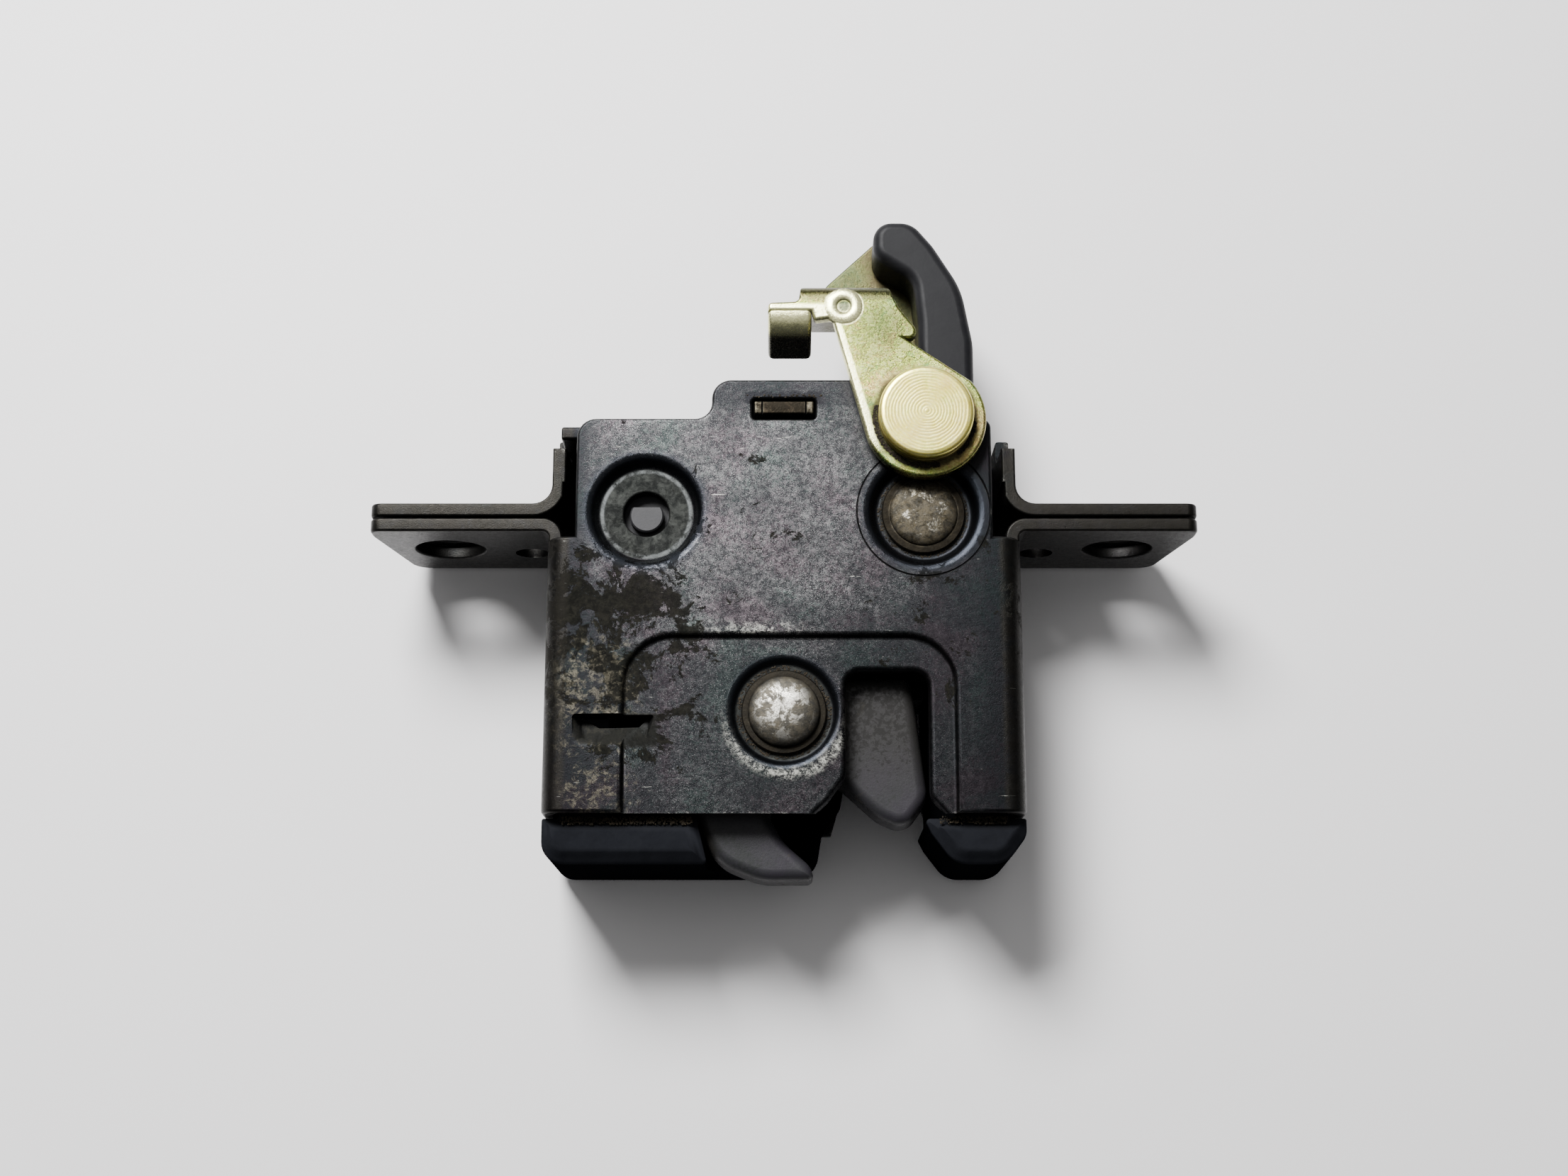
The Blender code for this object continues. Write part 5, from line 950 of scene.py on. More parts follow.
def front_sheet(sizes):
    """Face, side walls and lower flanges, with the pressed panel, seats, slot and lance."""
    edge = sizes.edge_radius / MM
    inner_x = HALF_WIDTH - SHEET
    fold = rounded([(HALF_WIDTH, GAP, 0.3), (HALF_WIDTH, DEPTH, BEND), (-HALF_WIDTH, DEPTH, BEND),
                    (-HALF_WIDTH, GAP, 0.3), (-inner_x, GAP, 0.3), (-inner_x, FACE_REAR, 0.8),
                    (inner_x, FACE_REAR, 0.8), (inner_x, GAP, 0.3)], 10)
    sheet = slab("Fold", fold, BOTTOM, RELIEF, edge, edge, "Y", 4)
    upper = rounded([(-FACE_HALF, -6.0, 0.0), (FACE_HALF, -6.0, 0.0), (FACE_HALF, SHOULDER, 2.2),
                     (TAB_RIGHT, SHOULDER, 0.0), (TAB_RIGHT, TAB_TOP, 3.6), (TAB_LEFT, TAB_TOP, 2.5),
                     (TAB_LEFT, SHOULDER, 2.2), (-FACE_HALF, SHOULDER, 2.5)], 8)
    join(sheet, slab("Upper face", upper, FACE_REAR, DEPTH, 0.2, edge, steps=4))
    for sign in (1, -1):
        join(sheet, flange(-1, 2.7, 0.1, -5.5, HALF_WIDTH, 4.6, sign))
    join(sheet, slab("Panel boss", panel_outline(BOTTOM + 0.5, 1.0), FACE_REAR - PANEL_DROP, FACE_REAR + 0.9))
    for centre in (FORK_AT, PAWL_AT, PEG_AT):
        boss = [(6.7, SEAT_INNER), (8.4, FACE_REAR), (8.4, FACE_REAR + 0.9)]
        join(sheet, turned("Boss", boss, centre))

    press = ((0.0, 0.0), (-0.25, 0.03), (-0.42, 0.14), (-0.52, 0.34), (-0.62, 0.52), (-0.85, 0.66),
             (-1.25, 0.72), (-1.3, 3.0))
    cut(sheet, stack("Panel", panel_outline(BOTTOM - 4.0, -0.4),
                     [(depth, PANEL_Z + rise) for depth, rise in press]))
    cut(sheet, turned("Pocket", fork_pocket(), FORK_AT, 96))
    pocket = [(radius, max(z, SEAT_FLOOR)) for radius, z in seat_profile(DEPTH, 1) if z >= SEAT_FLOOR - 0.01]
    for centre in (PAWL_AT, PEG_AT):
        cut(sheet, turned("Pocket", pocket, centre, 96))
    groove = ((8.45, 24.2), (8.50, 23.97), (8.62, 23.86), (8.74, 23.97), (8.79, 24.2))
    cut(sheet, turned("Coin ring", groove, PAWL_AT, 128, True))
    lance_cuts(sheet)

    roll = ((0.0, -6.0), (0.0, -0.75), (-0.06, -0.45), (-0.22, -0.20), (-0.45, -0.06), (-0.8, 0.01),
            (-0.8, 3.0))
    cut(sheet, stack("Slot", slot_outline(), [(depth, PANEL_Z + rise) for depth, rise in roll]))
    window = box_outline(-4.15, 12.75, 4.15, 15.5, 0.5)
    edge_roll = ((0.0, -4.0), (0.0, -0.4), (-0.06, -0.18), (-0.18, -0.05), (-0.4, 0.01), (-0.4, 2.0))
    cut(sheet, stack("Window", window, [(depth, DEPTH + rise) for depth, rise in edge_roll]))
    rim = [(2.95, SEAT_INNER - 2.0), (2.95, SEAT_FLOOR - 0.35), (3.03, SEAT_FLOOR - 0.15),
           (3.25, SEAT_FLOOR + 0.01), (3.25, SEAT_FLOOR + 1.0)]
    cut(sheet, turned("Peg window", rim, PEG_AT, 48))
    for centre, radius in ((FORK_AT, 3.1), (PAWL_AT, 3.1), (LEVER_AT, 3.3)):
        cut(sheet, column("Pin hole", radius, SEAT_INNER - 2.0, DEPTH + 2.0, centre))
    return sheet


def fork_pocket():
    """Pocket round the fork rivet, cut from the pressed panel."""
    return [(5.9, SEAT_FLOOR), (6.1, SEAT_FLOOR + 0.04), (6.3, SEAT_FLOOR + 0.16), (6.5, SEAT_FLOOR + 0.36),
            (6.7, SEAT_FLOOR + 0.56), (7.0, SEAT_FLOOR + 0.72), (7.4, SEAT_FLOOR + 0.80),
            (7.6, SEAT_FLOOR + 0.81), (7.6, DEPTH + 2.0)]


def lance_cuts(sheet):
    """Dented tab at the left of the panel, torn open along its upper edge."""
    dent = rounded([(-26.6, -30.5, 1.1), (-15.9, -30.3, 1.1), (-16.1, -26.1, 0.5), (-26.7, -26.2, 0.5)], 5)
    bm = bmesh.new()
    floor = rounded([(-25.3, -29.6, 0.6), (-17.3, -29.5, 0.6), (-17.1, -26.4, 0.2), (-25.7, -26.45, 0.2)], 5)
    drop = [2.0 * min(1.0, max(0.0, (y + 29.9) / 3.2)) + 0.25 for _, y in floor]
    low = [bm.verts.new((x, y, DEPTH - fall)) for (x, y), fall in zip(floor, drop)]
    middle = [bm.verts.new((x, y, DEPTH + 0.01)) for x, y in dent]
    high = [bm.verts.new((x, y, DEPTH + 1.5)) for x, y in dent]
    count = len(dent)
    for first, second in ((low, middle), (middle, high)):
        for i in range(count):
            bm.faces.new((first[i], first[(i + 1) % count], second[(i + 1) % count], second[i]))
    bmesh.ops.triangulate(bm, faces=[bm.faces.new(low)])
    bm.faces.new(high)
    backing = rounded([(-26.0, -30.0, 0.6), (-16.6, -29.9, 0.6), (-16.6, -26.0, 0.5), (-26.2, -26.1, 0.5)], 4)
    join(sheet, slab("Backing", backing, 21.35, FACE_REAR + 0.9, 0.3))
    slit = rounded([(-23.3, -27.85, 0.2), (-18.3, -27.7, 0.2), (-17.2, -26.42, 0.1), (-25.6, -26.47, 0.1)], 3)
    cut(sheet, new_object("Dent", bm), slab("Slit", slit, SEAT_INNER - 1.0, DEPTH + 1.0))


def rear_sheet(sizes):
    """Back plate, upper walls, top wall, upper flanges and staked lug."""
    edge = sizes.edge_radius / MM
    wall_x = HALF_WIDTH - GAP
    plate_x = HALF_WIDTH - SHEET - GAP
    plate = rounded([(-plate_x, BOTTOM, 1.8), (plate_x, BOTTOM, 1.8), (plate_x, 5.6, 0.0),
                     (26.1, 11.1, 0.0), (26.1, 20.0, 3.6), (9.4, 20.0, 3.6), (9.4, 14.2, 1.8),
                     (TAB_LEFT, 14.2, 1.8), (TAB_LEFT, 11.1, 0.0), (-plate_x, 5.6, 0.0)], 8)
    sheet = slab("Back plate", plate, 0.0, SHEET, edge, 0.3, steps=4)
    space_x = wall_x - SHEET
    wall_top = 21.6 - 3 * HAIR
    fold = rounded([(-wall_x, wall_top, 0.3), (-wall_x, HAIR, BEND), (wall_x, HAIR, BEND),
                    (wall_x, wall_top, 0.3), (space_x, wall_top, 0.3), (space_x, SHEET - HAIR, 0.8),
                    (-space_x, SHEET - HAIR, 0.8), (-space_x, wall_top, 0.3)], 10)
    walls = slab("Upper walls", fold, 5.0, SHOULDER, 0.0, 0.35, "Y", 3)
    step = rounded([(9.5, 30.0, 0.0), (9.5, 13.6, 1.8), (24.0, 13.6, 0.0), (24.0, 30.0, 0.0)], 6)
    cut(walls, slab("Step", step, -48.0, 48.0, axis="X"))
    join(sheet, walls)
    for sign in (1, -1):
        join(sheet, flange(1, 4.3, 0.3, 6.4, wall_x + HAIR, 3.4, sign))
    top_wall = box_outline(SHOULDER - SHEET, 0.9, SHOULDER, FACE_REAR - SHEET, 0.4, 3)
    join(sheet, slab("Top wall", top_wall, -wall_x + 0.9, TAB_LEFT, 0.3, 0.3, "X"))
    lug = box_outline(13.3, 0.2, 15.1, DEPTH + 0.4, 0.25, 3)
    bar = slab("Lug", lug, -3.9, 3.9, 0.25, 0.25, "X")
    shoulder = box_outline(13.25, 15.0, 15.9, FACE_REAR - GAP, 0.4)
    join(sheet, slab("Lug shoulder", shoulder, -6.2, 6.2, 0.3, 0.3, "X"))
    for x in (-2.85, 2.85):
        notch = [(x - 0.28, DEPTH + 1.0), (x, DEPTH - 0.05), (x + 0.28, DEPTH + 1.0)]
        cut(bar, slab("Stake", notch, 12.0, 16.5, axis="Y"))
    join(sheet, bar)
    for centre in (FORK_AT, PAWL_AT, LEVER_AT):
        join(sheet, turned("Boss", [(6.6, SHEET / 2), (6.6, SHEET), (5.7, SHEET + 1.5)], centre))
        pocket = [(6.4, -1.0), (6.4, -0.01), (5.9, 0.10), (5.5, 0.45), (5.1, 1.1), (4.9, 1.4), (4.7, 1.5)]
        cut(sheet, turned("Pocket", pocket, centre, 72))
    slot_roll = ((-0.6, -2.0), (-0.6, -0.01), (-0.3, 0.08), (-0.1, 0.3), (0.0, 0.6), (0.0, 5.0))
    outline = rounded([(5.7, BOTTOM - 2.0, 0.0), (20.6, BOTTOM - 2.0, 0.0), (18.4, -35.2, 1.8),
                       (18.4, -20.6, 1.8), (7.9, -20.6, 1.8), (7.9, -33.0, 1.8)], 8)
    cut(sheet, stack("Slot", outline, slot_roll))
    for centre, radius in ((FORK_AT, 3.1), (PAWL_AT, 3.1), (LEVER_AT, 3.3)):
        cut(sheet, column("Pin hole", radius, -1.0, 5.0, centre))
    return sheet


# Mouldings, fork and rivets

def guide_block():
    """Striker guide: base, rails and the two pads that stand below the case."""
    ledge = BOTTOM - GAP
    inner_x = HALF_WIDTH - SHEET - GAP
    left, right = 7.6, 18.7
    base = rounded([(-inner_x, ledge - 1.0, 0.0), (left - 3.0, ledge - 1.0, 0.0),
                    (left - 2.2, ledge + 1.0, 2.0), (left, -35.2, 2.0), (left, -17.2, 0.0),
                    (right, -17.2, 0.0), (right, ledge - 1.0, 0.0), (inner_x, ledge - 1.0, 0.0),
                    (inner_x, -14.0, 1.8), (-inner_x, -14.0, 1.8)], 6)
    body = slab("Base", base, GUIDE_LOW, GUIDE_BASE)
    reach = 22.1
    rail_top = FACE_REAR - PANEL_DROP - GAP
    for sign in (1, -1):
        rail = box_outline(reach, ledge - 1.2, inner_x - HAIR, -14.0 - HAIR, 0.3)
        join(body, slab("Rail", rail if sign > 0 else mirrored(rail), GUIDE_BASE - 1.0, rail_top, 0.0, 0.3))
    left_pad = rounded([(-HALF_WIDTH, ledge, 0.3), (-HALF_WIDTH, -44.7, 4.6), (-9.6, -44.7, 0.5),
                        (-11.0, ledge, 0.4)], 8)
    lower_pad = rounded([(-HALF_WIDTH, ledge, 0.3), (-HALF_WIDTH, -44.7, 4.6), (4.1, -44.7, 4.6),
                         (5.0, ledge, 0.6)], 8)
    right_pad = rounded([(17.6, ledge, 0.5), (18.6, -41.0, 2.0), (21.4, -44.7, 3.4), (27.9, -44.7, 3.6),
                         (HALF_WIDTH, -41.2, 2.4), (HALF_WIDTH, ledge, 0.3)], 8)
    pads = [slab("Lower pad", lower_pad, GUIDE_LOW, GUIDE_BASE, 0.6, 0.5)]
    levels = ((0.6, GUIDE_LOW + HAIR), (0.0, GUIDE_LOW + 0.6), (0.0, PAD_TOP - 1.35), (0.12, PAD_TOP - 1.15),
              (0.35, PAD_TOP - 1.02), (0.9, PAD_TOP - 0.55), (1.35, PAD_TOP - 0.16), (1.6, PAD_TOP - 0.04),
              (1.9, PAD_TOP))
    for outline in (left_pad, right_pad):
        pads.append(stack("Pad", outline, levels))
    join(body, *pads)
    sweep = column("Fork sweep", 21.7, GUIDE_BASE, DEPTH, FORK_AT, 96)
    combine(sweep, [slab("Right", box_outline(0.0, -46.0, reach, -36.9), 0.0, DEPTH + 2.0)], "INTERSECT")
    first = -162.0
    start = polar(5.6, first, FORK_AT)
    end = polar(5.5 + 0.9, first - 90.0, start)
    groove = [polar(0.9, first, start), polar(0.9, first - 180.0, start), polar(0.9, first - 180.0, end),
              polar(0.9, first, end)]
    cut(body, sweep, column("Spring pocket", 6.9, 0.0, 13.0, FORK_AT),
        column("Arm well", 13.0, GUIDE_BASE - 2.4, 13.0, FORK_AT, 64),
        slab("Foot groove", groove, 0.0, 6.1))
    return body


def peg_body():
    """Spacer between the sheets, with the D-shaped tip in the left window."""
    profile = [(3.9, 2.1), (4.2, 2.4), (4.2, 20.1), (3.9, 20.4), (2.2, 20.4), (2.2, 21.6), (2.0, 21.8)]
    peg = turned("Peg", profile, PEG_AT, 48)
    x, y = PEG_AT
    return cut(peg, slab("Flat", box_outline(x - 4.2, y + 1.1, x + 4.2, y + 4.2), 20.4, 24.0))


def fork_outline():
    """Two prongs, the striker mouth between them, the catch notch and the rim."""
    mouth = 4.55
    seat = polar(13.5, -75.0)
    across = polar(mouth, 29.0)
    inward = polar(mouth, 119.0)
    mouth_right = (seat[0] + across[0] + inward[0], seat[1] + across[1] + inward[1])
    mouth_left = (seat[0] - across[0] + inward[0], seat[1] - across[1] + inward[1])
    shoulder = polar(17.1, 17.7)
    notch_root = (7.05, shoulder[1])
    right = [mouth_right + (4.28,), polar(17.5, -47.3) + (5.5,), polar(21.1, -43.0) + (3.6,),
             polar(21.1, -29.8) + (3.2,), shoulder + (1.9,), notch_root + (0.9,), polar(9.8, 47.0) + (0.9,)]
    rim = [point + (0.0,) for point in arc((0.0, 0.0), 18.0, 44.0, 118.0, 24)]
    left = [polar(13.6, 153.0) + (6.0,), polar(13.6, 205.0) + (6.0,), polar(17.4, 231.8) + (8.0,),
            polar(20.5, 245.0) + (6.0,), polar(21.1, 262.0) + (8.0,), polar(21.2, 280.6) + (2.0,),
            polar(19.2, 280.0) + (3.0,), polar(16.0, 270.0) + (6.0,), mouth_left + (4.28,)]
    return rounded(right + rim + left, 10)


def fork_body():
    """Coated fork with soft edges, its bore and its spring boss."""
    levels = ((0.95, FORK_LOW), (0.45, FORK_LOW + 0.08), (0.15, FORK_LOW + 0.3), (0.0, FORK_LOW + 0.8),
              (0.0, FORK_TOP - 1.5), (0.08, FORK_TOP - 1.05), (0.26, FORK_TOP - 0.65), (0.55, FORK_TOP - 0.33),
              (0.95, FORK_TOP - 0.12), (1.5, FORK_TOP))
    body = stack("Fork", around(FORK_AT, fork_outline()), levels)
    join(body, column("Boss", 1.2, FORK_LOW - 2.0, FORK_LOW + 2.0, polar(10.0, 150.0, FORK_AT), 24))
    return cut(body, column("Bore", 4.1, FORK_LOW - 2.0, FORK_TOP + 2.0, FORK_AT))


def rivet(journal, centre, dome, crown, head_radius):
    """Pin riveted over at both ends, with a crowned head."""
    head = SEAT_FLOOR + GAP
    collar = head + 0.35
    curve = [(head_radius * math.cos(math.radians(turn)) ** crown, collar + dome * math.sin(math.radians(turn)))
             for turn in range(0, 86, 7)]
    profile = [(4.1, 0.3), (4.4, 0.55), (4.4, 1.2), (2.8, 1.2), (2.8, 3.6), (journal, 3.6),
               (journal, SEAT_INNER - GAP), (2.8, SEAT_INNER - GAP), (2.8, head), (5.25, head),
               (5.4, head + 0.12), (5.25, head + 0.3), (head_radius + 0.25, collar)] + curve
    return turned("Rivet", profile, centre, 72)


# Lever

def lever_arm():
    """Front arm: round end, dimpled rib, driver tab and hooked flap, folded from one sheet."""
    x, y = LEVER_AT
    top = y + 18.2
    end = arc(LEVER_AT, 7.9, 200.0, 400.0, 40)
    outline = end + rounded([(x + 0.8, y + 10.0, 3.0), (x - 3.2, y + 15.3, 1.6), (x - 4.6, top, 0.6),
                             (x - 16.0, top, 0.5), (x - 16.3, y + 16.1, 0.7), (x - 20.3, y + 15.9, 1.2),
                             (x - 20.3, y + 14.7, 0.0), (x - 14.6, y + 14.7, 0.0), (x - 14.2, y + 13.4, 0.5),
                             (x - 12.2, y + 13.7, 1.6)], 6)
    arm = slab("Arm", outline, ARM_LOW, ARM_TOP, 0.35, 0.45, steps=4)
    bend = (y + 16.4, ARM_TOP - 2.2)
    cap = [(y + 16.4, ARM_TOP + 0.5)] + arc(bend, 2.2, 90.0, 35.0, 8) + [(top + 0.8, ARM_TOP + 0.5)]
    cut(arm, slab("Bend round", cap, x - 17.0, x - 4.0, axis="X"))
    tab = rounded([(top - 1.8, REAR_ARM_TOP + GAP, 0.2), (top, REAR_ARM_TOP + GAP, 0.2),
                   (top, ARM_TOP - 0.9, 0.3), (top - 1.8, ARM_TOP - 0.9, 0.3)], 3)
    flap_centre = (y + 14.7, ARM_TOP - 3.2)
    outer = arc(flap_centre, 3.2, 90.0, 160.0, 10)
    inner = arc(flap_centre, 1.4, 160.0, 90.0, 8)
    fall = (outer[-1][1] - 20.6) / math.sin(math.radians(70.0))
    flap = outer + [polar(fall, 250.0, outer[-1]), polar(fall, 250.0, inner[0])] + inner
    join(arm, slab("Driver tab", tab, x - 15.5, x - 8.1, 0.3, 0.3, "X"),
         slab("Flap", flap, x - 20.3, x - 14.6, 0.6, 0.6, "X"))
    lump = [(2.6, ARM_TOP - 0.4), (2.45, ARM_TOP + 0.02), (2.1, ARM_TOP + 0.20), (1.6, ARM_TOP + 0.30),
            (1.1, ARM_TOP + 0.20), (0.8, ARM_TOP - 0.04), (0.3, ARM_TOP - 0.12)]
    rib = turned("Rib", lump, (x - 10.4, y + 15.3), 40)
    join(arm, rib)
    return cut(arm, column("Bore", 3.2, ARM_LOW - 1.0, ARM_TOP + 1.0, LEVER_AT))


def rear_arm():
    """Rear arm behind the horn, with its hub and the pip that drives the pawl."""
    x, y = LEVER_AT
    outline = rounded([(x + 5.2, y, 0.0), (x + 7.3, y + 13.0, 12.0), (x + 6.2, y + 21.0, 12.0),
                       (x + 2.4, y + 26.8, 8.0), (x - 1.2, y + 29.96, 3.0), (x - 5.8, y + 29.6, 2.0),
                       (x - 12.8, y + 23.0, 1.6), (x - 12.2, y + 19.2, 1.6), (x - 7.5, y + 15.0, 4.0),
                       (x - 5.2, y, 0.0)], 8)
    arm = slab("Rear arm", outline, REAR_ARM_LOW, REAR_ARM_TOP, 0.3, 0.35)
    pip = (x - 2.9, y - 4.8)
    join(arm, slab("Hub", arc(LEVER_AT, 5.2, 0.0, 352.5, 47), REAR_ARM_LOW, REAR_ARM_TOP, 0.3, 0.35),
         column("Pip foot", 1.7, REAR_ARM_LOW + 0.1, REAR_ARM_TOP - 0.1, pip, 32),
         turned("Pip", [(1.2, REAR_ARM_LOW + 0.9), (1.2, 16.8), (1.0, 17.0)], pip, 32))
    return cut(arm, column("Bore", 3.2, 5.0, 20.0, LEVER_AT))


def horn_body():
    """Moulded nose with a rounded crown."""
    x, y = LEVER_AT
    right, top = x + 6.9, y + 29.6
    outline = rounded([(right, y + 3.5, 2.0), (right, y + 12.4, 10.0), (x + 5.5, y + 20.1, 12.0),
                       (x + 1.8, y + 26.2, 10.0), (x - 1.0, top, 3.4), (x - 6.2, top, 2.8),
                       (x - 6.2, top - 5.0, 2.6), (x - 1.0, y + 21.3, 3.0), (x - 0.4, y + 15.0, 4.0),
                       (x - 0.4, y + 4.5, 1.5)], 10)
    low = REAR_ARM_TOP + GAP
    levels = ((0.6, low), (0.15, low + 0.12), (0.0, low + 0.5), (0.0, HORN_TOP - 1.5), (0.07, HORN_TOP - 1.0),
              (0.28, HORN_TOP - 0.55), (0.6, HORN_TOP - 0.22), (1.0, HORN_TOP - 0.05), (1.35, HORN_TOP))
    return stack("Horn", outline, levels)


def pin_body():
    """Turned pin: ringed head with a grooved side, shank and ring groove."""
    rings = [(6.1 - 0.75 - 0.085 * i, HEAD_TOP + (0.0 if i % 2 else -0.010)) for i in range(60)]
    profile = [(2.8, 0.3), (3.0, 0.5), (3.0, 0.4 + 0.1), (2.4, 0.52), (2.4, 1.4), (3.0, 1.4), (3.0, HEAD_LOW),
               (5.7, HEAD_LOW), (6.1, HEAD_LOW + 0.3), (6.1, HEAD_LOW + 1.15), (5.95, HEAD_LOW + 1.28),
               (6.1, HEAD_LOW + 1.42), (6.1, HEAD_TOP - 0.45), (5.95, HEAD_TOP - 0.18),
               (5.65, HEAD_TOP - 0.02)] + rings
    return turned("Pin", profile, LEVER_AT, 96)


def main_washer():
    """Flat washer under the front arm."""
    profile = [(3.2, 24.2), (6.85, 24.2), (7.0, 24.3), (7.0, 24.6), (6.85, 24.7), (3.2, 24.7)]
    return turned("Washer", profile, LEVER_AT, 64, True)


# Geometry nodes

def geometry_tree(name, inputs):
    """Geometry node tree with named number inputs; gives its tree and its end nodes."""
    tree = bpy.data.node_groups.new(name, "GeometryNodeTree")
    tree.interface.new_socket("Geometry", in_out="INPUT", socket_type="NodeSocketGeometry")
    for label, kind, value in inputs:
        socket = tree.interface.new_socket(label, in_out="INPUT", socket_type="NodeSocket" + kind)
        if value is not None:
            socket.default_value = value
    tree.interface.new_socket("Geometry", in_out="OUTPUT", socket_type="NodeSocketGeometry")
    return tree, tree.nodes.new("NodeGroupInput"), tree.nodes.new("NodeGroupOutput")


def close_tree(tree, shape, look, result):
    """End a tree in real geometry with its material."""
    real = node(tree, "GeometryNodeRealizeInstances", {0: shape})
    dressed = node(tree, "GeometryNodeSetMaterial", {"Geometry": real.outputs[0], "Material": look})
    tree.links.new(dressed.outputs[0], result.inputs[0])


def make_wire_tree():
    """Torsion spring: straight legs that leave the coil along its tangents, and an upright tip."""
    tree, given, result = geometry_tree("Wound wire", [
        ("Coil radius", "Float", 0.005), ("Wire radius", "Float", 0.0005), ("Turns", "Float", 4.0),
        ("First angle", "Float", 0.0), ("Hand", "Float", 1.0), ("Low", "Float", 0.005),
        ("High", "Float", 0.01), ("Foot", "Float", 0.005), ("Arm", "Float", 0.01), ("Tip", "Float", 0.0),
        ("Centre", "Vector", (0.0, 0.0, 0.0)), ("Points", "Int", 160), ("Material", "Material", None)])
    take = given.outputs
    line = node(tree, "GeometryNodeMeshLine", {"Count": take["Points"]})
    index = node(tree, "GeometryNodeInputIndex").outputs[0]
    share = maths_g(tree, "DIVIDE", index, maths_g(tree, "SUBTRACT", take["Points"], 2.0))
    share = maths_g(tree, "MINIMUM", share, 1.0)
    length = maths_g(tree, "MULTIPLY", maths_g(tree, "MULTIPLY", take["Turns"], 2 * math.pi),
                     take["Coil radius"])
    whole = maths_g(tree, "ADD", length, maths_g(tree, "ADD", take["Foot"], take["Arm"]))
    along = maths_g(tree, "SUBTRACT", maths_g(tree, "MULTIPLY", share, whole), take["Foot"])
    held = maths_g(tree, "MINIMUM", maths_g(tree, "MAXIMUM", along, 0.0), length)
    over = maths_g(tree, "SUBTRACT", along, held)
    angle = maths_g(tree, "ADD", take["First angle"],
                    maths_g(tree, "MULTIPLY", take["Hand"], maths_g(tree, "DIVIDE", held, take["Coil radius"])))
    cosine, sine = maths_g(tree, "COSINE", angle), maths_g(tree, "SINE", angle)
    slide = maths_g(tree, "MULTIPLY", over, take["Hand"])
    across = maths_g(tree, "SUBTRACT", maths_g(tree, "MULTIPLY", cosine, take["Coil radius"]),
                     maths_g(tree, "MULTIPLY", slide, sine))
    upward = maths_g(tree, "ADD", maths_g(tree, "MULTIPLY", sine, take["Coil radius"]),
                     maths_g(tree, "MULTIPLY", slide, cosine))
    height = maths_g(tree, "ADD", take["Low"], maths_g(tree, "MULTIPLY", maths_g(tree, "DIVIDE", held, length),
                                                       maths_g(tree, "SUBTRACT", take["High"], take["Low"])))
    last = maths_g(tree, "GREATER_THAN", index, maths_g(tree, "SUBTRACT", take["Points"], 1.5))
    rise = maths_g(tree, "MAXIMUM", maths_g(tree, "SUBTRACT", take["Tip"], take["High"]), 0.0)
    height = maths_g(tree, "ADD", height, maths_g(tree, "MULTIPLY", last, rise))
    place = node(tree, "ShaderNodeCombineXYZ", {"X": across, "Y": upward, "Z": height}).outputs[0]
    moved = node(tree, "ShaderNodeVectorMath", {0: place, 1: take["Centre"]}, operation="ADD").outputs[0]
    wound = node(tree, "GeometryNodeSetPosition", {"Geometry": line.outputs[0], "Position": moved})
    curve = node(tree, "GeometryNodeMeshToCurve", {0: wound.outputs[0]})
    circle = node(tree, "GeometryNodeCurvePrimitiveCircle", {"Resolution": 12, "Radius": take["Wire radius"]})
    wire = node(tree, "GeometryNodeCurveToMesh", {"Curve": curve.outputs[0], "Profile Curve": circle.outputs[0],
                                                  "Fill Caps": True})
    close_tree(tree, wire.outputs[0], take["Material"], result)
    return tree


def maths_g(tree, operation, *values):
    """Result of a Math node in a geometry tree."""
    return node(tree, "ShaderNodeMath", dict(enumerate(values)), operation=operation).outputs[0]


def make_crumb_tree():
    """Dry crumbs scattered over a patch of surface."""
    tree, given, result = geometry_tree("Crumbs", [
        ("Density", "Float", 4000000.0), ("Crumb size", "Float", 0.0002), ("Seed", "Int", 3),
        ("Material", "Material", None)])
    take = given.outputs
    points = node(tree, "GeometryNodeDistributePointsOnFaces",
                  {"Mesh": take["Geometry"], "Density": take["Density"], "Seed": take["Seed"]})
    ball = node(tree, "GeometryNodeMeshIcoSphere", {"Radius": take["Crumb size"], "Subdivisions": 1})
    size = node(tree, "FunctionNodeRandomValue", {"Seed": take["Seed"]}, data_type="FLOAT_VECTOR")
    size.inputs[0].default_value = (0.35, 0.35, 0.2)
    size.inputs[1].default_value = (1.2, 1.2, 0.6)
    turn = node(tree, "FunctionNodeRandomValue", {"Seed": take["Seed"]}, data_type="FLOAT_VECTOR")
    turn.inputs[1].default_value = (0.5, 0.5, 6.28)
    spread = node(tree, "GeometryNodeInstanceOnPoints", {
        "Points": points.outputs["Points"], "Instance": ball.outputs[0], "Rotation": turn.outputs[0],
        "Scale": size.outputs[0]})
    close_tree(tree, spread.outputs[0], take["Material"], result)
    return tree


def grown(name, base, tree, values):
    """Run a geometry tree on a base object and keep the plain mesh."""
    host = base or bpy.data.objects.new(name, bpy.data.meshes.new(name))
    if not base:
        bpy.context.scene.collection.objects.link(host)
    step = host.modifiers.new("Grow", "NODES")
    step.node_group = tree
    names = {item.name: item.identifier for item in tree.interface.items_tree
             if item.item_type == "SOCKET" and item.in_out == "INPUT"}
    for label, value in values.items():
        step[names[label]] = value
    apply_modifiers(host)
    return host


# Settings

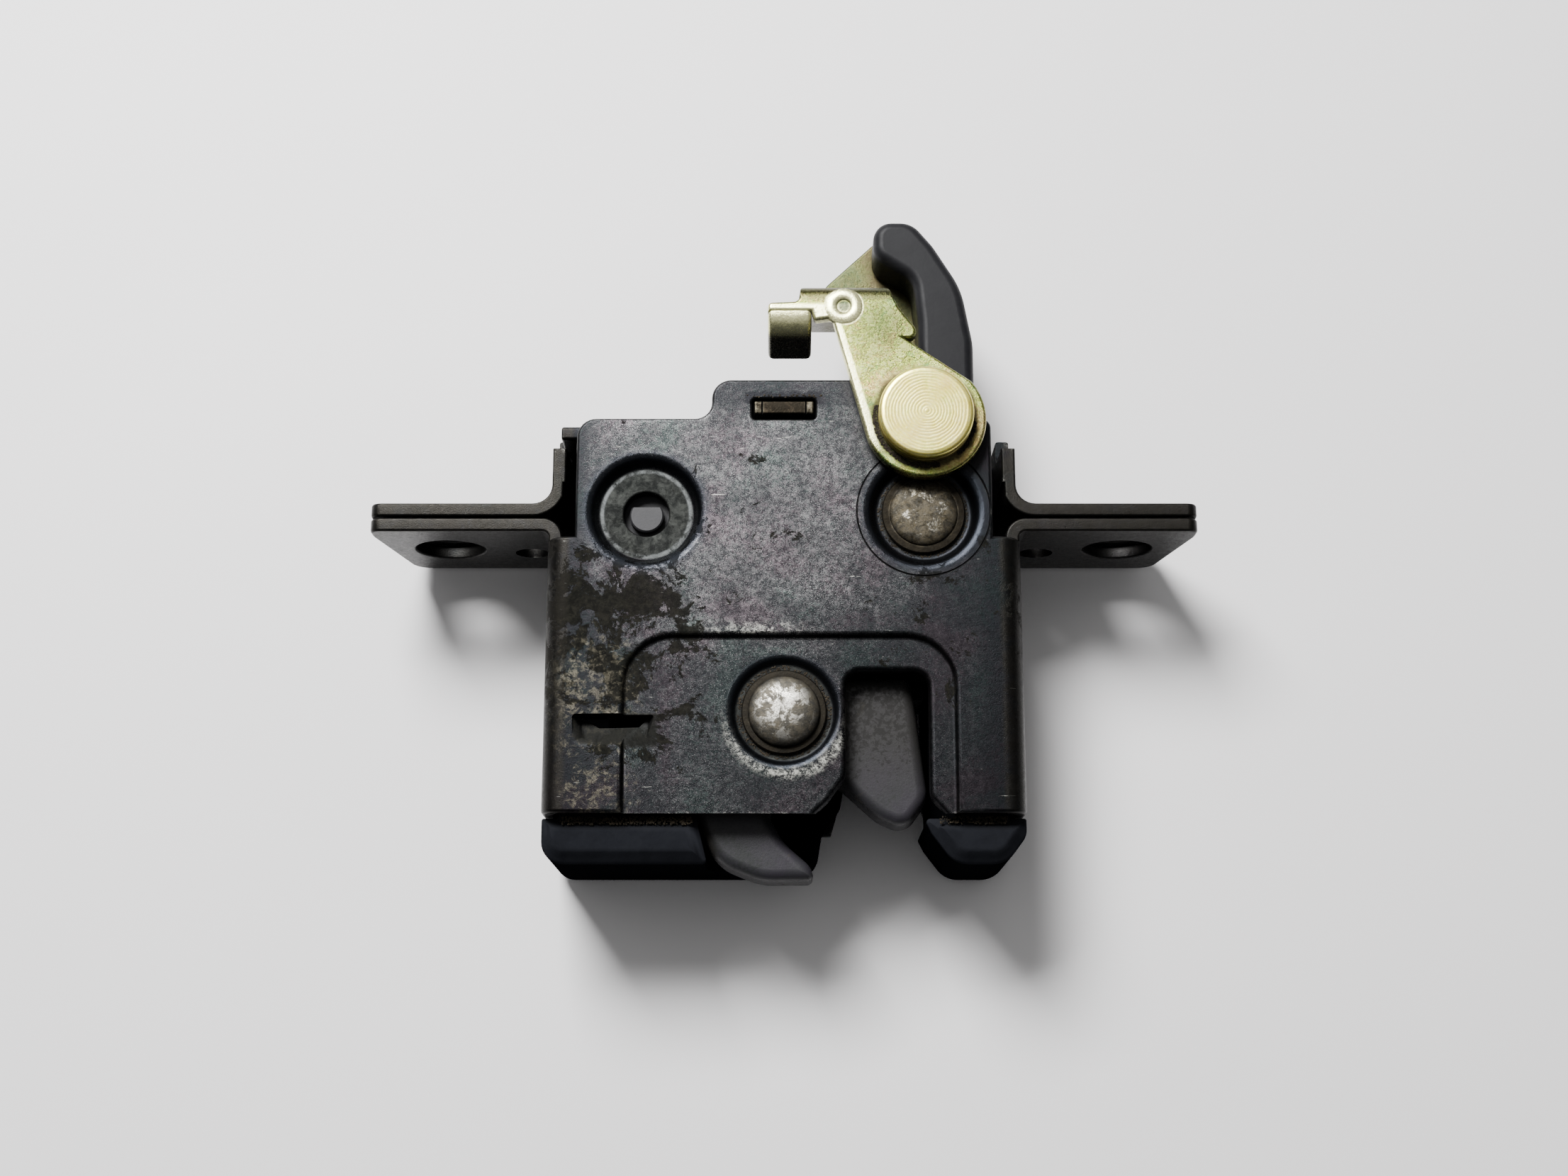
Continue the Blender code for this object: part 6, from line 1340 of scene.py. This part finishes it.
class BootLockSizes(bpy.types.PropertyGroup):
    """Sizes of the dressed pieces."""
    edge_radius: bpy.props.FloatProperty(
        name="Sheet edge", description="Rounding of the stamped sheets' outer edges",
        default=0.0005, min=0.0001, max=0.0008, unit="LENGTH", precision=5)
    wire_radius: bpy.props.FloatProperty(
        name="Spring wire", description="Radius of the torsion springs' wire",
        default=0.0005, min=0.0003, max=0.0006, unit="LENGTH", precision=5)
    crumb_size: bpy.props.FloatProperty(
        name="Crumb", description="Radius of the largest crumbs of dirt",
        default=0.00016, min=0.00005, max=0.0003, unit="LENGTH", precision=5)


class BootLockLooks(bpy.types.PropertyGroup):
    """Colours of the finishes."""
    zinc_dark: bpy.props.FloatVectorProperty(
        name="Black zinc", description="Darkest tone of the plated case", subtype="COLOR", size=3,
        default=(0.0075, 0.0080, 0.0092), min=0.0, max=1.0)
    # The worn tone is also the colour of the painted sheen over the face.
    zinc_pale: bpy.props.FloatVectorProperty(
        name="Worn zinc", description="Tone of the plating where hands have rubbed it", subtype="COLOR",
        size=3, default=(0.088, 0.087, 0.088), min=0.0, max=1.0)
    gold: bpy.props.FloatVectorProperty(
        name="Yellow zinc", description="Tone of the lever's plating", subtype="COLOR", size=3,
        default=(0.215, 0.245, 0.046), min=0.0, max=1.0)
    coat: bpy.props.FloatVectorProperty(
        name="Fork coat", description="Tone of the fork's plastic coat", subtype="COLOR", size=3,
        default=(0.0165, 0.0160, 0.0184), min=0.0, max=1.0)
    plastic: bpy.props.FloatVectorProperty(
        name="Guide plastic", description="Tone of the striker guide", subtype="COLOR", size=3,
        default=(0.0064, 0.0068, 0.0084), min=0.0, max=1.0)


class BootLockStage(bpy.types.PropertyGroup):
    """Camera and light."""
    lens: bpy.props.FloatProperty(
        name="Lens", description="Focal length of the camera", default=50.04, min=10.0, max=200.0,
        unit="CAMERA")
    lamp_power: bpy.props.FloatProperty(
        name="Lamp", description="Power of the large soft lamp", default=9.6, min=0.0, unit="POWER")
    sky: bpy.props.FloatProperty(
        name="Sky", description="Strength of the even light all round", default=0.66, min=0.0, max=3.0)


# Operators

def settings():
    """The three groups of settings, and the materials made from them."""
    scene = bpy.context.scene
    make_looks(scene.boot_lock_looks)
    return scene.boot_lock_sizes


class BOOTLOCK_OT_case(bpy.types.Operator):
    """Make the two folded case sheets with their presses, slot and flanges"""
    bl_idname = "boot_lock.case"
    bl_label = "Dress the case"

    def execute(self, context):
        sizes = settings()
        finish(front_sheet(sizes), "front_case_sheet", LOOKS["case"], "case", ("front_case",))
        finish(rear_sheet(sizes), "back_case_sheet", LOOKS["case"], "case", ("back_case",))
        return {"FINISHED"}


class BOOTLOCK_OT_mouldings(bpy.types.Operator):
    """Make the striker guide, the spacer peg and the finish of the buffer and spools"""
    bl_idname = "boot_lock.mouldings"
    bl_label = "Dress the mouldings"

    def execute(self, context):
        sizes = settings()
        finish(guide_block(), "striker_guide_moulding", LOOKS["guide"], "case",
               ("striker_guide",))
        finish(peg_body(), "spacer_peg_moulding", LOOKS["peg"], "case", ("spacer_peg",))
        for name, look in (("striker_buffer", "rubber"), ("fork_bush", "spool"), ("pawl_bush", "spool"),
                           ("lever_bush", "spool")):
            repaint(name, LOOKS[look])
        return {"FINISHED"}


def repaint(name, look):
    """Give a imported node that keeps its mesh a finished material."""
    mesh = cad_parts[name].data
    mesh.materials.clear()
    mesh.materials.append(look)


class BOOTLOCK_OT_mechanism(bpy.types.Operator):
    """Make the fork and the rivets, and finish the pawl, washers and ring"""
    bl_idname = "boot_lock.mechanism"
    bl_label = "Dress the mechanism"

    def execute(self, context):
        settings()
        finish(fork_body(), "fork_coated", LOOKS["fork"], "fork", ("fork",))
        finish(rivet(3.8, FORK_AT, 1.9, 0.75, 4.6), "fork_rivet", LOOKS["fork_rivet"], "case",
               ("fork_pin",))
        finish(rivet(3.3, PAWL_AT, 0.95, 0.6, 4.4), "pawl_rivet", LOOKS["pawl_rivet"], "case",
               ("pawl_pin",))
        for name in ("pawl", "fork_washer", "pawl_washer"):
            repaint(name, LOOKS["steel"])
        repaint("pin_ring", LOOKS["spring"])
        return {"FINISHED"}


class BOOTLOCK_OT_springs(bpy.types.Operator):
    """Wind the three torsion springs"""
    bl_idname = "boot_lock.springs"
    bl_label = "Wind the springs"

    def execute(self, context):
        sizes = settings()
        tree = make_wire_tree()
        for name, at, coil, high, turns, arm_angle, hand, foot, arm, tip in (
                ("fork_spring", FORK_AT, 5.6, 11.9, 3.75, 108.0, 1, 5.5, 10.5, 0.0),
                ("pawl_spring", PAWL_AT, 5.1, 10.6, 3.1, 98.5, 1, 8.6, 8.5, 16.4),
                ("lever_spring", LEVER_AT, 4.8, 10.6, 3.734, 208.0, -1, 13.5, 7.6, 13.4)):
            wire = grown(name + "_wire", None, tree, {
                "Coil radius": coil * MM, "Wire radius": sizes.wire_radius, "Turns": turns,
                "First angle": math.radians(arm_angle - hand * 360.0 * turns), "Hand": float(hand),
                "Low": 5.2 * MM, "High": high * MM, "Foot": foot * MM, "Arm": arm * MM, "Tip": tip * MM,
                "Centre": (at[0] * MM, at[1] * MM, 0.0), "Points": 170, "Material": LOOKS["spring"]})
            finish(wire, name + "_wire", LOOKS["spring"], "case", (name,))
        return {"FINISHED"}


class BOOTLOCK_OT_lever(bpy.types.Operator):
    """Make the lever arms, the horn, the ringed pin and its washer"""
    bl_idname = "boot_lock.lever"
    bl_label = "Dress the lever"

    def execute(self, context):
        settings()
        finish(lever_arm(), "release_lever_arm", LOOKS["gold"], "lever", ("release_lever",))
        finish(rear_arm(), "rear_lever_arm", LOOKS["gold"], "lever", ("rear_lever",))
        finish(horn_body(), "horn_moulding", LOOKS["horn"], "lever", ("horn",))
        finish(pin_body(), "lever_pin_turned", LOOKS["pin"], "lever", ("lever_pin",), 50.0)
        finish(main_washer(), "lever_washer_ring", LOOKS["steel"], "lever", ("lever_washer",))
        return {"FINISHED"}


def patch(name, outline, height, hole=None):
    """Flat patch for crumbs to lie on, perhaps with a round hole in it."""
    bm = bmesh.new()
    if hole:
        centre, inner, outer, start, end = hole
        count = 24
        near = [bm.verts.new(polar(inner, start + (end - start) * i / count, centre) + (height,))
                for i in range(count + 1)]
        far = [bm.verts.new(polar(outer, start + (end - start) * i / count, centre) + (height,))
               for i in range(count + 1)]
        for i in range(count):
            bm.faces.new((near[i], near[i + 1], far[i + 1], far[i]))
    else:
        bm.faces.new([bm.verts.new((x, y, height)) for x, y in outline])
    return new_object(name, bm)


class BOOTLOCK_OT_dirt(bpy.types.Operator):
    """Scatter crumbs of dry dirt where the lock collects them"""
    bl_idname = "boot_lock.dirt"
    bl_label = "Scatter the dirt"

    def execute(self, context):
        sizes = settings()
        tree = make_crumb_tree()
        places = (
            ("ledge_dirt", "case", patch("Ledge", box_outline(-28.0, -39.9, -11.5, -38.9), PAD_TOP - 0.1),
             30.0),
            ("right_ledge_dirt", "case", patch("Ledge", box_outline(19.5, -39.8, 28.0, -38.9), PAD_TOP - 0.1),
             22.0),
            ("fork_seat_dirt", "case", patch("Seat", None, SEAT_FLOOR + 0.03, (FORK_AT, 5.45, 6.05, 0, 360)),
             14.0),
            ("pawl_seat_dirt", "case", patch("Seat", None, SEAT_FLOOR + 0.03, (PAWL_AT, 5.45, 5.9, 0, 360)),
             14.0),
            ("window_dirt", "case", patch("Lug", box_outline(-4.9, 15.65, 4.9, 16.1), DEPTH + 0.02), 7.0),
            ("pin_dirt", "lever", patch("Pin", None, ARM_TOP + 0.05, (LEVER_AT, 6.15, 6.75, 165, 285)), 60.0),
            ("pin_side_dirt", "lever", patch("Pin", None, ARM_TOP + 0.05, (LEVER_AT, 6.15, 6.6, 310, 355)),
             60.0))
        for seed, (name, body, base, density) in enumerate(places):
            crumbs = grown(name, base, tree, {"Density": density / MM ** 2, "Crumb size": sizes.crumb_size,
                                              "Seed": seed + 3, "Material": LOOKS["dirt"]})
            finish(crumbs, name, LOOKS["dirt"], body)
        return {"FINISHED"}


class BOOTLOCK_OT_stage(bpy.types.Operator):
    """Set the floor, the soft lights and the camera"""
    bl_idname = "boot_lock.stage"
    bl_label = "Set the stage"

    def execute(self, context):
        stage = context.scene.boot_lock_stage
        bm = bmesh.new()
        bmesh.ops.create_grid(bm, x_segments=8, y_segments=8, size=900.0)
        floor = new_object("floor", bm)
        made, tree, shader = new_material("pale floor", 0.0, 0.3)
        tone = blend(tree, noise(tree, object_place(tree), 12.0, 3.0), solid(0.70, 0.69, 0.695),
                     solid(0.76, 0.75, 0.75))
        rough = level(tree, noise(tree, object_place(tree), 30.0, 2.0), 0.5, 0.6)
        connect(tree, shader, tone, rough)
        floor.data.materials.append(made)
        self.lamp("Window", (-0.15, 0.30, 0.42), (0.0, 0.0, 0.01), 0.21, stage.lamp_power)
        world = bpy.data.worlds.new("Even light")
        context.scene.world = world
        world.use_nodes = True
        tree = world.node_tree
        direction = tree.nodes.new("ShaderNodeTexCoord").outputs["Generated"]
        towards = node(tree, "ShaderNodeVectorMath", {0: direction, 1: (0.0, 0.45, 0.89)},
                       operation="DOT_PRODUCT").outputs["Value"]
        glow = ramp(tree, towards, 0.25, 0.9)
        back = tree.nodes["Background"]
        tint = blend(tree, glow, solid(0.045, 0.048, 0.058), solid(0.92, 0.915, 0.91))
        tree.links.new(tint, back.inputs["Color"])
        back.inputs["Strength"].default_value = stage.sky
        lens = bpy.data.cameras.new("Camera")
        lens.lens = stage.lens
        lens.sensor_width = 36.0
        camera = bpy.data.objects.new("Camera", lens)
        context.scene.collection.objects.link(camera)
        place = Vector((0.0, -0.07718, 0.29374))
        target = Vector((0.0, -0.009927, 0.024))
        camera.location = place
        camera.rotation_euler = (target - place).to_track_quat("-Z", "Y").to_euler()
        context.scene.camera = camera
        return {"FINISHED"}

    @staticmethod
    def lamp(name, place, target, size, power):
        """Large soft area lamp aimed at a point."""
        data = bpy.data.lights.new(name, "AREA")
        data.size = size
        data.energy = power
        made = bpy.data.objects.new(name, data)
        bpy.context.scene.collection.objects.link(made)
        made.location = place
        made.rotation_euler = (Vector(target) - Vector(place)).to_track_quat("-Z", "Y").to_euler()


class BOOTLOCK_PT_panel(bpy.types.Panel):
    """Lists the steps and the settings"""
    bl_label = "Boot lock"
    bl_idname = "BOOTLOCK_PT_panel"
    bl_space_type = "VIEW_3D"
    bl_region_type = "UI"
    bl_category = "Boot lock"

    def draw(self, context):
        for step in STEPS:
            self.layout.operator(step.bl_idname)
        for group in (context.scene.boot_lock_sizes, context.scene.boot_lock_looks,
                      context.scene.boot_lock_stage):
            for name in group.__annotations__:
                self.layout.prop(group, name)


STEPS = (BOOTLOCK_OT_case, BOOTLOCK_OT_mouldings, BOOTLOCK_OT_mechanism, BOOTLOCK_OT_springs,
         BOOTLOCK_OT_lever, BOOTLOCK_OT_dirt, BOOTLOCK_OT_stage)
GROUP_CLASSES = (BootLockSizes, BootLockLooks, BootLockStage)


def register():
    for made in GROUP_CLASSES + STEPS + (BOOTLOCK_PT_panel,):
        bpy.utils.register_class(made)
    bpy.types.Scene.boot_lock_sizes = bpy.props.PointerProperty(type=BootLockSizes)
    bpy.types.Scene.boot_lock_looks = bpy.props.PointerProperty(type=BootLockLooks)
    bpy.types.Scene.boot_lock_stage = bpy.props.PointerProperty(type=BootLockStage)


def unregister():
    del bpy.types.Scene.boot_lock_sizes
    del bpy.types.Scene.boot_lock_looks
    del bpy.types.Scene.boot_lock_stage
    for made in reversed(GROUP_CLASSES + STEPS + (BOOTLOCK_PT_panel,)):
        bpy.utils.unregister_class(made)


def main():
    """Run every step."""
    register()
    for step in STEPS:
        area, action = step.bl_idname.split(".")
        getattr(getattr(bpy.ops, area), action)()


if __name__ == "__main__":
    main()
